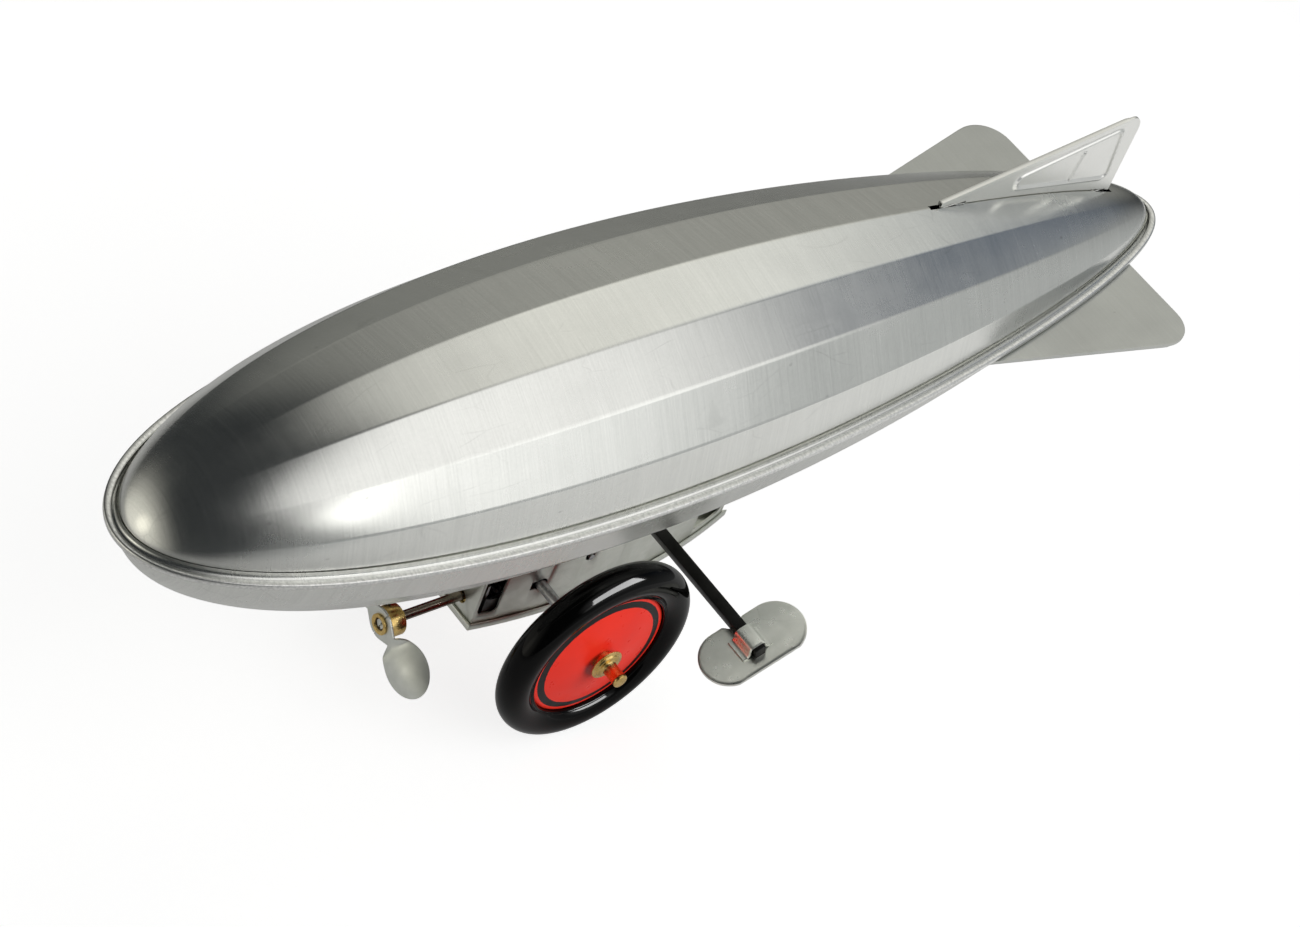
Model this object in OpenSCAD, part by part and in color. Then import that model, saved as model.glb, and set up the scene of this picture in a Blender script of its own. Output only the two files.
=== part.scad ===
// Clockwork toy airship: gored metal hull in two crimped halves, four tail fins,
// a boat-shaped gondola holding a spring motor, two road wheels and a front propeller.
// Frame: origin under the middle of the hull on the gondola's flat underside,
// +X to the nose, +Y to the key side, +Z up. Millimetres.

/* [Hull] */
// length of the hull body without its crimped rim
hull_length = 350; // [340:1:360]
// widest width of the hull body
hull_width = 84.4; // [80:0.4:88]
// height of the upper half compared with its half width
hull_crown = 0.92; // [0.88:0.01:0.96]
// sheet thickness of both hull halves
hull_sheet = 0.8; // [0.7:0.05:1]
// how far the crimped rim stands out round the seam
rim_out = 3; // [2.8:0.1:3.4]
// height of the hull's centre line above the gondola's underside
hull_axis_z = 81.4; // [80.4:0.2:83]

/* [Fins] */
// sheet thickness of the four fins
fin_sheet = 0.8; // [0.7:0.05:1]
// height of the upright fin's tip above the hull's centre line
fin_top_height = 42.4; // [40:0.4:46]
// distance of a side fin's tip from the hull's centre line
fin_side_reach = 47.5; // [45:0.5:51]

/* [Gondola] */
// widest width of the gondola's side wall
gondola_width = 18.6; // [18.4:0.1:19.4]
// sheet thickness of the gondola
gondola_sheet = 0.5; // [0.4:0.05:0.6]
// height of the turned-up edge of the gondola's bottom tray
tray_height = 2.2; // [1.8:0.1:2.8]

/* [Running gear] */
// outside diameter of a tyre
tyre_d = 61.5; // [57:0.5:64]
// thickness of a tyre, side to side
tyre_w = 9.6; // [8.6:0.1:10.4]
// distance between the middles of the two tyres
track = 67; // [65:0.5:71]
// diameter of the wheel axle
axle_d = 3.2; // [3:0.1:3.4]

/* [Propeller] */
// diameter swept by the propeller
prop_d = 45.2; // [42:0.4:48]
// how far each blade is turned out of the disc
prop_pitch = 28; // [22:1:34]
// diameter of the propeller shaft
prop_shaft_d = 2.8; // [2.6:0.1:3]

/* [Key] */
// width across the flats of the square winding rod
rod_square = 3.4; // [3.2:0.1:3.6]
// distance from the hull's middle plane to the outer end of the rod
rod_reach = 59; // [57:0.5:64]
// width of the key's handle plate
handle_w = 32.4; // [28:0.2:34]
// depth of the key's handle plate
handle_d = 17; // [16:0.2:19]
// turn of the handle plate round the rod at rest
handle_turn = 21.5; // [0:0.5:45]

/* [Clockwork] */
// clearance between a turning pin and its hole, per side
run_gap = 0.04; // [0.03:0.01:0.06]
// thickness of the two motor side plates
plate_t = 0.8; // [0.7:0.05:0.9]

/* [Hidden] */
$fn = 64;

alu = [0.80, 0.81, 0.82];
tin = [0.70, 0.71, 0.70];
steel = [0.55, 0.55, 0.56];
brass = [0.80, 0.63, 0.28];
black = [0.06, 0.06, 0.06];
red = [0.80, 0.15, 0.10];

// small gaps with names
seat = 0.25;        // a fixed sheet and what it rests on
slot_gap = 0.3;     // a tab and its slot
lap = 0.1;          // folded sheet and what it grips

// hull shape
half_len = hull_length / 2;
gore = 22.5;
valley = tan(gore / 2);   // how fast a gore's flat panel falls away from its ridge
n_len = 36;
function clamp01(t) = t < 0 ? 0 : t > 1 ? 1 : t;
function ease(t) = let (c = clamp01(t)) c * c * (3 - 2 * c);
function full(s) = 1 - 0.27 * s - 0.145 * s * s;
function full_slope(s) = -0.27 - 0.29 * s;
peak = max([for (i = [0 : 2 : 180]) sin(i) * full((1 - cos(i)) / 2)]);
radius_scale = hull_width / 2 / peak;
function s_at(phi) = (1 - cos(phi)) / 2;
function r_at(phi) = radius_scale * sin(phi) * full(s_at(phi));
function slope_at(phi) = radius_scale
  * (cos(phi) * full(s_at(phi)) + sin(phi) * sin(phi) / 2 * full_slope(s_at(phi)));
function norm_at(phi) = let (a = slope_at(phi), b = half_len * sin(phi), n = norm([a, b])) [a / n, b / n];
// x and radius of the hull's side line at station angle phi, moved out by off
function side(phi, off) = [half_len * cos(phi) + off * norm_at(phi)[0],
  (phi < 0.01 || phi > 179.99) ? 0 : r_at(phi) + off * norm_at(phi)[1]];
function crease(s) = ease(s / 0.2) * ease((1 - s) / 0.1);
function facet(th, s) = let (c = crease(s), t = ((th % gore) + gore) % gore)
  1 - c + c * cos(gore / 2) / cos(t - gore / 2);
// point on the hull: th is the angle from the top towards the key side
function hull_pt(phi, th, off) = let (p = side(phi, off), f = facet(th, s_at(phi)), k = abs(th) < 90.001 ? hull_crown : 1)
  [p[0], p[1] * f * sin(th), p[1] * f * cos(th) * k];
function phi_of(x) = acos(x / half_len);
function r_of(x) = r_at(phi_of(x));

// one half of the hull: an outer and an inner skin joined by the seam's own section,
// which is given as [out from the hull's side line, height] and runs from skin to skin
module hull_half(top, section) {
  n_th = 24;
  th0 = top ? -90 : 90;
  up = top ? 1 : -1;
  row = n_th + 1;
  skin = 2 + (n_len - 1) * row;
  ring = 2 * n_len;
  last = len(section) - 1;
  // keeps the skin beyond its own edge near the two ends, where the hull is thin
  function beyond(p, z, j) = [p[0], p[1], (j == 0 || j == n_th) ? z : up * max(up * p[2], up * z + 0.05 * min(j, n_th - j))];
  function skin_pts(off, z) = concat([[half_len + off, 0, z]],
    [for (i = [1 : n_len - 1]) for (j = [0 : n_th]) beyond(hull_pt(180 * i / n_len, th0 + 180 * j / n_th, off), z, j)],
    [[-half_len - off, 0, z]]);
  function at(b, i, j) = i == 0 ? b : i == n_len ? b + skin - 1 : b + 1 + (i - 1) * row + j;
  function quad(a, b, c, d) = a == b ? [[a, c, d]] : c == d ? [[a, b, c]] : [[a, b, c], [a, c, d]];
  function rim(k, q) = let (w = q % ring, i = w <= n_len ? w : ring - w, j = w <= n_len ? n_th : 0)
    k == 0 ? at(0, i, j) : k == last ? at(skin, i, j) : 2 * skin + (k - 1) * ring + w;
  outer = [for (i = [0 : n_len - 1]) for (j = [0 : n_th - 1])
    each quad(at(0, i, j), at(0, i, j + 1), at(0, i + 1, j + 1), at(0, i + 1, j))];
  inner = [for (i = [0 : n_len - 1]) for (j = [0 : n_th - 1])
    each quad(at(skin, i, j + 1), at(skin, i, j), at(skin, i + 1, j), at(skin, i + 1, j + 1))];
  edge = [for (k = [0 : last - 1]) for (q = [0 : ring - 1])
    each [[rim(k, q), rim(k + 1, q), rim(k, q + 1)], [rim(k + 1, q), rim(k + 1, q + 1), rim(k, q + 1)]]];
  edge_pts = [for (k = [1 : last - 1]) for (q = [0 : ring - 1])
    let (p = side(180 * (q <= n_len ? q : ring - q) / n_len, section[k][0])) [p[0], (q <= n_len ? up : -up) * p[1], section[k][1]]];
  polyhedron(points = concat(skin_pts(0, section[0][1]), skin_pts(-hull_sheet, section[last][1]), edge_pts),
    faces = concat(outer, inner, edge), convexity = 6);
}

// fins
flange = rim_out - 1;
rim_low = 0.6;
fin_front = half_len - 99;
fin_back = half_len - 20;
side_fin_front = fin_front + 7;
side_fin_z = hull_axis_z - rim_low - seat;
root_step = 6;
function root_z(x, k) = r_of(x) * k;
// outline of an upright fin, in x and height over the centre line
function fin_shape(k, tip) = concat(
  [for (x = [-fin_front - 3.6 : -root_step : -fin_back + 4]) [x, root_z(x, k) + seat]],
  [[-fin_back + 1.3, root_z(-fin_back + 1.3, k) + seat], [-fin_back + 1.5, tip - 6.5]],
  [for (a = [0 : 18 : 90]) [-fin_back + 5.2 - 3.6 * cos(a), tip - 3.2 + 3.2 * sin(a)]],
  [[-fin_back + 8.5, tip - 0.5], [-fin_front - 3.6, root_z(-fin_front - 3.6, k) + seat + 1.2]]);
// strip folded over the leading edge
function hem_shape(k, tip) = [[-fin_back + 8.5, tip - 0.5], [-fin_front - 3.6, root_z(-fin_front - 3.6, k) + seat + 1.2],
  [-fin_front - 7.6, root_z(-fin_front - 7.6, k) + seat + 0.5], [-fin_back + 8.9, tip - 2]];
// tabs of an upright fin, and the longer slots they drop into, from back to front
fin_tabs = [[-fin_front - 14, -fin_front - 4.2], [-fin_back + 3, -fin_back + 9]];
fin_slot_x = [[-fin_front - 14, -fin_front + 0.2], [-fin_back - 0.6, -fin_back + 9]];
tab_turn = 2.4;      // length of a tab's turned-over end
module upright_fin(k, tip) {
  translate([0, fin_sheet / 2, hull_axis_z]) rotate([90, 0, 0]) linear_extrude(fin_sheet) polygon(fin_shape(k, tip));
  translate([0, fin_sheet / 2 + 0.25, hull_axis_z]) rotate([90, 0, 0]) linear_extrude(fin_sheet + 0.5) polygon(hem_shape(k, tip));
  // tabs through the hull, with their ends turned over inside
  for (t = fin_tabs) {
    zin = root_z(t[0], k) - hull_sheet - slot_gap - fin_sheet - 0.6;
    translate([t[0], -fin_sheet / 2, hull_axis_z + zin]) cube([t[1] - t[0], fin_sheet, root_z(t[0], k) - zin + 2.5]);
    translate([t[0], -fin_sheet / 2, hull_axis_z + zin]) cube([t[1] - t[0], fin_sheet + tab_turn, fin_sheet]);
  }
}
module fin_slots(k) {
  for (t = fin_slot_x)
    translate([t[0] - slot_gap, -fin_sheet / 2 - slot_gap, hull_axis_z + (k > 0 ? 5 : -60)])
      cube([t[1] - t[0] + 2 * slot_gap, fin_sheet + 2 * slot_gap, 55]);
}
// ridges pressed into the upright fin: a triangle with one cross rib
ridge_w = 0.45;      // half width of a ridge
ridge_h = 0.35;      // how far it stands out
module fin_ridges(tip) {
  a = [-fin_back + 48, tip - 12.9];
  b = [-fin_back + 7.8, tip - 4.4];
  c = [-fin_back + 7.4, tip - 21];
  m1 = [-fin_back + 22.6, tip - 8.2];
  m2 = [-fin_back + 21.6, tip - 18.8];
  w = ridge_w;
  for (e = [[a, b], [b, c], [c, a], [m1, m2]])
    translate([0, fin_sheet / 2 + ridge_h, hull_axis_z]) rotate([90, 0, 0]) linear_extrude(ridge_h)
      let (d = (e[1] - e[0]) / norm(e[1] - e[0]), n = [-d[1], d[0]])
        polygon([e[0] - n * w - d * w, e[1] - n * w + d * w, e[1] + n * w + d * w, e[0] + n * w - d * w]);
}

// seam: the upper half's flange lies in a channel folded up and over from the lower half
flange_t = 0.5;
fold_t = 0.6;
seam_top = flange_t + lap + fold_t;
fold_in = 0.6;
module upper_hull() color(alu) difference() {
  translate([0, 0, hull_axis_z])
    hull_half(true, [[0, flange_t], [flange, flange_t], [flange, 0], [-hull_sheet, 0]]);
  fin_slots(1);
}

module lower_hull() color(alu) difference() {
  translate([0, 0, hull_axis_z])
    hull_half(false, [[0, -rim_low], [rim_out, -rim_low], [rim_out, seam_top], [fold_in, seam_top],
      [fold_in, seam_top - fold_t], [rim_out - 0.7, seam_top - fold_t], [rim_out - 0.7, -0.02], [-hull_sheet, -0.02]]);
  fin_slots(-1);
  for (m = [-1, 1]) side_fin_slots(m);
  for (t = body_tabs, m = [-1, 1]) body_slot(t, m);
  for (x = lug_x, m = [-1, 1]) lug_slot(x, m);
}

module top_fin() color(alu) {
  upright_fin(hull_crown, fin_top_height);
  fin_ridges(fin_top_height);
}
// the hull is not flattened below its centre line, so the lower fin's tip lies further out
fin_low_height = fin_top_height + 2.6;
module bottom_fin() color(alu) translate([0, 0, 2 * hull_axis_z]) mirror([0, 0, 1]) {
  upright_fin(1, fin_low_height);
  fin_ridges(fin_low_height);
}

// side fins lie flat just under the rim
side_tabs = [[-fin_back + 51, -fin_back + 60], [-fin_back + 17, -fin_back + 25]];
function side_fin_shape() = concat(
  [for (x = [-side_fin_front : -root_step : -fin_back + 4]) [x, r_of(x) + seat + 0.15]],
  [[-fin_back, r_of(-fin_back) + seat + 0.15], [-fin_back - 0.4, fin_side_reach - 11],
   [-fin_back + 0.2, fin_side_reach - 6.5], [-fin_back + 2.4, fin_side_reach - 2.6],
   [-fin_back + 5.4, fin_side_reach - 0.6], [-fin_back + 9.5, fin_side_reach], [-fin_back + 13, fin_side_reach - 0.5]],
  [[-side_fin_front, r_of(-side_fin_front) + seat + 1]]);
module side_fin() {
  translate([0, 0, side_fin_z - fin_sheet]) {
    linear_extrude(fin_sheet) polygon(side_fin_shape());
    translate([0, 0, -0.25]) linear_extrude(fin_sheet + 0.25)
      let (f = -side_fin_front) polygon([[-fin_back + 13, fin_side_reach - 0.5], [f, r_of(f) + seat + 1],
        [f - 5, r_of(f - 5) + seat + 0.4], [-fin_back + 13.2, fin_side_reach - 2.1]]);
    for (t = side_tabs) {
      y0 = r_of(t[1]) - hull_sheet - slot_gap - 4.2;
      translate([t[0], y0, 0]) cube([t[1] - t[0], r_of(t[1]) - y0 + 1, fin_sheet]);
      translate([t[0], y0, -tab_turn]) cube([t[1] - t[0], fin_sheet, tab_turn + 0.1]);
    }
  }
}
module side_fin_slots(m) {
  for (t = side_tabs)
    translate([t[0] - slot_gap, m > 0 ? 8 : -48, side_fin_z - fin_sheet - slot_gap])
      cube([t[1] - t[0] + 2 * slot_gap, 40, fin_sheet + 2 * slot_gap]);
}
module port_fin() color(alu) side_fin();
module starboard_fin() color(alu) mirror([0, 1, 0]) side_fin();

// gondola: plan is a lens cut square at the front
lens_mid = 17;
lens_r = 208;
box_front = 50.7;
half_w = gondola_width / 2;
tray_t = 0.5;
function lens_y(x, off) = sqrt(pow(lens_r + off, 2) - pow(x - lens_mid, 2)) - lens_r + half_w;
lens_n = 24;
module lens(off) {
  stem = lens_mid - sqrt(pow(lens_r + off, 2) - pow(lens_r - half_w, 2));
  xs = [for (i = [1 : lens_n]) stem + (box_front + off - stem) * i / lens_n];
  polygon(concat([[stem, 0]], [for (x = xs) [x, -lens_y(x, off)]],
    [for (i = [lens_n - 1 : -1 : 0]) [xs[i], lens_y(xs[i], off)]]));
}
body_tabs = [[31, 5], [4, 5], [-27, 4]];   // x and width of the tabs through the hull
// windows in both sides: x and z of the lower rear corner, width, height
windows = [[box_front - 7.1, 5.4, 6.2, 13.8], [-42, 4.4, 12.6, 12]];
window_r = 1.6;
function tab_y(t) = lens_y(t[0], 0) - gondola_sheet;
// rectangle with round corners, as one outline
function rounded(x, y, w, h, r) = [for (c = [[x + w - r, y + r, -90], [x + w - r, y + h - r, 0],
  [x + r, y + h - r, 90], [x + r, y + r, 180]]) for (a = [0 : 15 : 90]) [c[0] + r * cos(c[2] + a), c[1] + r * sin(c[2] + a)]];
module body_slot(t, m) {
  translate([t[0] - t[1] / 2 - slot_gap, m > 0 ? tab_y(t) - slot_gap : -tab_y(t) - gondola_sheet - slot_gap, hull_axis_z - 46])
    cube([t[1] + 2 * slot_gap, gondola_sheet + 2 * slot_gap, 16]);
}
axle_x = 31.3;
axle_z = 12.4;
shaft_z = 6.8;
key_x = -4.2;
key_z = 22.4;
axle_hole = axle_d / 2 + 0.5;
// height of the hull's underside over the gondola's floor, y out from the bottom ridge
function belly_z(x, y) = hull_axis_z - r_of(x) + valley * abs(y);
function wall_top(x) = belly_z(x, max(0, lens_y(x, 0))) - seat;
module gondola_body() color(tin) {
  difference() {
    intersection() {
      translate([0, 0, tray_t + 0.1]) linear_extrude(hull_axis_z - 30) difference() {
        lens(0);
        lens(-gondola_sheet);
      }
      translate([0, 20, 0]) rotate([90, 0, 0]) linear_extrude(40)
        polygon(concat([for (x = [-50 : 3 : 52]) [x, wall_top(x)]], [[52, 0], [-50, 0]]));
    }
    // the front wall follows the hull's two flat panels
    translate([box_front - 2, 0, 0]) rotate([90, 0, 90]) linear_extrude(4)
      polygon([[0, belly_z(box_front, 0) - seat], [6.2, belly_z(box_front, 6.2) - seat], [6.2, 60], [-6.2, 60], [-6.2, belly_z(box_front, 6.2) - seat]]);
    for (w = windows) along_y(0, 0, -20, 20) linear_extrude(40) polygon(rounded(w[0], w[1], w[2], w[3], window_r));
    // holes for the axle, with the notch it is threaded in by, the winding rod, the second arbor's end
    // and the propeller shaft
    pin_y(axle_x, axle_z, axle_hole, -20, 20);
    translate([axle_x, -20, axle_z - axle_d / 2]) cube([axle_hole + 1.2, 40, axle_d]);
    pin_y(key_x, key_z, rod_square * 0.707 + 0.7, 0, 40);
    pin_y(second_x, second_z, 1.6, -20, 20);
    translate([box_front - 5, 0, shaft_z]) rotate([0, 90, 0]) cylinder(r = prop_shaft_d / 2 + 0.8, h = 10);
  }
  for (t = body_tabs, m = [-1, 1]) {
    zt = belly_z(t[0], tab_y(t)) - seat;
    zf = belly_z(t[0], tab_y(t)) + hull_sheet + slot_gap;
    y0 = m > 0 ? tab_y(t) : -tab_y(t) - gondola_sheet;
    translate([t[0] - t[1] / 2, y0, zt - 2]) cube([t[1], gondola_sheet, zf + gondola_sheet - zt + 2]);
    translate([t[0] - t[1] / 2, m > 0 ? y0 - 2.2 : y0, zf]) cube([t[1], gondola_sheet + 2.2, gondola_sheet]);
  }
}
module gondola_tray() color(tin) {
  linear_extrude(tray_t) lens(0.65);
  linear_extrude(tray_height) difference() {
    lens(0.65);
    lens(0.12);
  }
}

// motor frame
plate_y = 6.4;
plate_in = plate_y - plate_t;
gm = 1;             // tooth module of the spur gears
addendum = 0.8;
n_great = 30;
n_second_pinion = 12;
n_second = 22;
n_axle_pinion = 10;
n_crown_drive = 14;
n_crown_pinion = 8;
n_crown = 16;
n_prop = 8;
crown_module = 0.6;
d_ab = gm * (n_great + n_second_pinion) / 2;
d_bc = gm * (n_second + n_axle_pinion) / 2;
d_cd = gm * (n_crown_drive + n_crown_pinion) / 2;
ac = [axle_x - key_x, axle_z - key_z];
ac_len = norm(ac);
ac_dir = atan2(ac[1], ac[0]);
lift = acos((d_ab * d_ab + ac_len * ac_len - d_bc * d_bc) / (2 * d_ab * ac_len));
second_x = key_x + d_ab * cos(ac_dir + lift);
second_z = key_z + d_ab * sin(ac_dir + lift);
crown_x = axle_x + sqrt(d_cd * d_cd - pow(axle_z - shaft_z, 2));
ab_dir = atan2(second_z - key_z, second_x - key_x);
bc_dir = atan2(axle_z - second_z, axle_x - second_x);
cd_dir = atan2(shaft_z - axle_z, crown_x - axle_x);
pivot_r = 0.9;
arbor_r = 1.6;
pillar_at = [[12, 34.4], [45, 21.5], [4.4, 4.4], [24.6, 3.9]];
pillar_r = 1.5;
lug_x = [-6, 40];
plate_low = 2.1;
plate_top = 36;
plate_x0 = -11.5;
plate_x1 = 47.8;
lug_w = 5;
lug_t = 0.7;
lug_fold = 2.4;
module lug_slot(x, m) {
  translate([x - lug_w / 2 - slot_gap, m > 0 ? plate_in - slot_gap : -plate_y - slot_gap, hull_axis_z - 46])
    cube([lug_w + 2 * slot_gap, plate_t + 2 * slot_gap, 16]);
}
module along_y(x, z, y0, y1) translate([x, y1, z]) rotate([90, 0, 0]) children();
module pin_y(x, z, r, y0, y1) along_y(x, z, y0, y1) cylinder(r = r, h = y1 - y0);

// a plate stands on y 0 with its corners cut off; its lugs go through the hull and are turned in
module motor_plate(key_side) {
  difference() {
    union() {
      along_y(0, 0, 0, plate_t) linear_extrude(plate_t)
        polygon([[plate_x0, plate_low + 6], [plate_x0 + 5, plate_low], [plate_x1, plate_low], [plate_x1, plate_top - 11],
          [lug_x[1] + 4, plate_top], [lug_x[0] - 3.5, plate_top], [plate_x0, plate_top - 4]]);
      for (x = lug_x) {
        zf = belly_z(x, plate_y) + hull_sheet + slot_gap;
        translate([x - lug_w / 2, 0, plate_top - 1]) cube([lug_w, plate_t, zf + lug_t - plate_top + 1]);
        translate([x - lug_w / 2, -lug_fold, zf]) cube([lug_w, lug_fold + plate_t, lug_t]);
      }
    }
    for (p = pillar_at) translate([p[0], -5, p[1]]) rotate([-90, 0, 0]) cylinder(r = pillar_r - 0.5, h = 10);
    translate([axle_x, -5, axle_z]) rotate([-90, 0, 0]) cylinder(r = axle_d / 2 + run_gap, h = 10);
    translate([key_x, -5, key_z]) rotate([-90, 0, 0]) cylinder(r = (key_side ? arbor_r : 1.2) + run_gap, h = 10);
    translate([second_x, -5, second_z]) rotate([-90, 0, 0]) cylinder(r = pivot_r + run_gap, h = 10);
    translate([crown_x, -5, shaft_z]) rotate([-90, 0, 0]) cylinder(r = pivot_r + run_gap, h = 10);
    // lightening window and the round bite behind the gondola's front window, clear of every hole
    translate([26, -5, 24]) cube([12, 10, 8]);
    translate([44.5, -5, 14.5]) rotate([-90, 0, 0]) cylinder(r = 5, h = 10);
  }
}
module port_plate() color(steel) translate([0, plate_in, 0]) motor_plate(true);
module starboard_plate() color(steel) mirror([0, 1, 0]) translate([0, plate_in, 0]) motor_plate(false);
module plate_pillar() color(steel) for (p = pillar_at) {
  pin_y(p[0], p[1], pillar_r, -plate_in, plate_in);
  pin_y(p[0], p[1], pillar_r - 0.5, -plate_y - 0.35, plate_y + 0.35);
}
bracket_x = 46.9;
module front_bracket() color(steel) difference() {
  translate([bracket_x, -plate_in, 2.6]) cube([0.8, 2 * plate_in, 12]);
  translate([bracket_x - 2, 0, shaft_z]) rotate([0, 90, 0]) cylinder(r = 2.4, h = 6);
}
module shaft_bush() color(brass) difference() {
  union() {
    translate([bracket_x, 0, shaft_z]) rotate([0, 90, 0]) cylinder(r = 2.4, h = 3);
    translate([bracket_x + 0.8, 0, shaft_z]) rotate([0, 90, 0]) cylinder(r = 3.2, h = 0.9);
  }
  translate([bracket_x - 2, 0, shaft_z]) rotate([0, 90, 0]) cylinder(r = prop_shaft_d / 2 + run_gap, h = 8);
}

// mainspring: flat spiral from the arbor out to a loop round the top pillar
spring_t = 0.35;
spring_in = 3.35;
spring_out = 12.4;
spring_turns = 7;
spring_y0 = -5.2;
spring_y1 = -0.5;
coil_steps = 20;
end_dir = atan2(pillar_at[0][1] - key_z, pillar_at[0][0] - key_x);
hook = [pillar_at[0][0] - key_x, pillar_at[0][1] - key_z];
loop_r = pillar_r + 0.25 + spring_t / 2;
tail_turn = acos((spring_out + loop_r) / norm(hook));
function coil(k, o) = let (t = k / (spring_turns * coil_steps), a = end_dir + tail_turn + (1 - t) * 360 * spring_turns,
  r = spring_in + (spring_out - spring_in) * t + o) [r * cos(a), r * sin(a)];
loop_dir = end_dir + tail_turn + 180;
function loop(b, o) = hook + (loop_r + o) * [cos(loop_dir + b), sin(loop_dir + b)];
module mainspring() color(steel) along_y(key_x, key_z, spring_y0, spring_y1) linear_extrude(spring_y1 - spring_y0) {
  last = spring_turns * coil_steps;
  h = spring_t / 2;
  polygon(concat([for (k = [0 : last]) coil(k, h)], [for (b = [0 : 20 : 320]) loop(b, -h)],
    [for (b = [320 : -20 : 0]) loop(b, h)], [for (k = [last : -1 : 0]) coil(k, -h)]));
}

// toothed outline with involute flanks
function inv(a) = tan(a) * 180 / PI - a;
function half_tooth(r, rp, n, slack) = let (rb = rp * cos(25), q = max(r, rb))
  90 / n - slack + inv(25) - inv(acos(rb / q));
function gear_outline(n, m, slack) = let (rp = n * m / 2, ra = rp + addendum * m, rf = rp - 1.02 * m,
  rb = rp * cos(25), rs = max(rf + 0.02, rb))
  [for (i = [0 : n - 1]) each let (c = 360 * i / n,
    fl = [rf, rs, (rs + rp) / 2, rp, (rp + ra) / 2, ra],
    h = [for (r = fl) max(half_tooth(r, rp, n, slack), 0.6)])
    concat([for (k = [0 : 5]) [fl[k] * cos(c - h[k]), fl[k] * sin(c - h[k])]],
      [for (k = [5 : -1 : 0]) [fl[k] * cos(c + h[k]), fl[k] * sin(c + h[k])]])];
module spur(x, z, n, m, turn, y0, y1, bore) {
  slack = 0.06 / (n * m / 2) * 180 / PI;
  along_y(x, z, y0, y1) rotate([0, 0, turn]) linear_extrude(y1 - y0) difference() {
    polygon(gear_outline(n, m, slack));
    if (bore > 0) circle(bore);
  }
}

great_y = [0, 1.2];
ratchet_y = [1.4, 2.3];
second_y = [2.6, 3.5];
drive_y = [3.9, 4.9];
ratchet_r = 5.4;
n_ratchet = 12;

// winding arbor: pivot, spring core, round bearings and the long square rod, all in one piece
module winding_arbor() color(black) {
  pin_y(key_x, key_z, 1.2, -plate_y - 0.4, spring_y0);
  pin_y(key_x, key_z, spring_in - 0.4, spring_y0, great_y[0] - 0.15);
  pin_y(key_x, key_z, 2.2, great_y[0] - 0.15, great_y[1] + 0.1);
  pin_y(key_x, key_z, arbor_r, great_y[1] + 0.1, 9.9);
  translate([key_x, 9.9, key_z]) rotate([0, handle_turn, 0]) translate([-rod_square / 2, 0, -rod_square / 2])
    cube([rod_square, rod_reach - 9.9, rod_square]);
}

// key handle: stadium plate under the rod with a pressed strap over it
handle_y = rod_reach - 4.6;
handle_t = 0.9;
handle_off = -0.75;
strap_l = 7.2;
strap_w = 4.5;
module key_handle() color(tin) translate([key_x, handle_y, key_z]) rotate([0, handle_turn, 0]) {
  zt = -rod_square / 2;
  difference() {
    translate([handle_off, 0, zt - handle_t]) linear_extrude(handle_t) intersection() {
      union() {
        translate([handle_w / 2 - handle_d / 2, 0]) circle(handle_d / 2);
        translate([-handle_w / 2 + handle_d / 2, 0]) circle(handle_d / 2);
        square([handle_w - handle_d, handle_d], center = true);
      }
      translate([-40, -handle_d / 2]) square([80, handle_d - 0.3]);
    }
    // shallow notch at the inner edge, where the rod comes in
    translate([0, -handle_d / 2 - 0.6, zt - 2]) cylinder(r = rod_square * 0.62 + 0.6, h = 3);
  }
  difference() {
    translate([0, strap_l / 2, 0]) rotate([90, 0, 0]) linear_extrude(strap_l)
      polygon([[-strap_w, zt], [-strap_w + 1.2, zt + 0.5], [-rod_square / 2 - 1, zt + 1.2], [-rod_square / 2 - 0.8, rod_square / 2 + 0.3],
        [-rod_square / 2 + 0.4, rod_square / 2 + 0.9], [rod_square / 2 - 0.4, rod_square / 2 + 0.9],
        [rod_square / 2 + 0.8, rod_square / 2 + 0.3], [rod_square / 2 + 1, zt + 1.2], [strap_w - 1.2, zt + 0.5], [strap_w, zt]]);
    translate([-rod_square / 2, -10, zt - 1]) cube([rod_square, 20, rod_square + 1]);
  }
}

ratchet_turn = 5;
module ratchet_wheel() color(steel) along_y(key_x, key_z, ratchet_y[0], ratchet_y[1]) linear_extrude(ratchet_y[1] - ratchet_y[0])
  difference() {
    polygon([for (i = [0 : n_ratchet - 1]) each let (c = 360 * i / n_ratchet + ratchet_turn)
      [[(ratchet_r - 1.3) * cos(c - 3), (ratchet_r - 1.3) * sin(c - 3)], [ratchet_r * cos(c), ratchet_r * sin(c)]]]);
    circle(arbor_r);
  }

// click: a pawl held just clear of the ratchet's tips, swinging in on its own pivot
click_dir = 75;
click_d = 10.2;
click_x = key_x + click_d * cos(click_dir);
click_z = key_z + click_d * sin(click_dir);
click_turn = click_dir + 143;
pivot_pin = 0.7;
module click() color(steel) along_y(click_x, click_z, ratchet_y[0], ratchet_y[1] - 0.05)
  linear_extrude(ratchet_y[1] - ratchet_y[0] - 0.05) rotate([0, 0, click_turn]) difference() {
    polygon(concat([for (a = [50 : 10 : 310]) 1.9 * [cos(a), sin(a)]], [[4, -0.5], [7, -0.7], [7.2, -0.1], [4.4, 1.5]]));
    circle(pivot_pin + run_gap, $fn = 32);
  }

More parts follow.
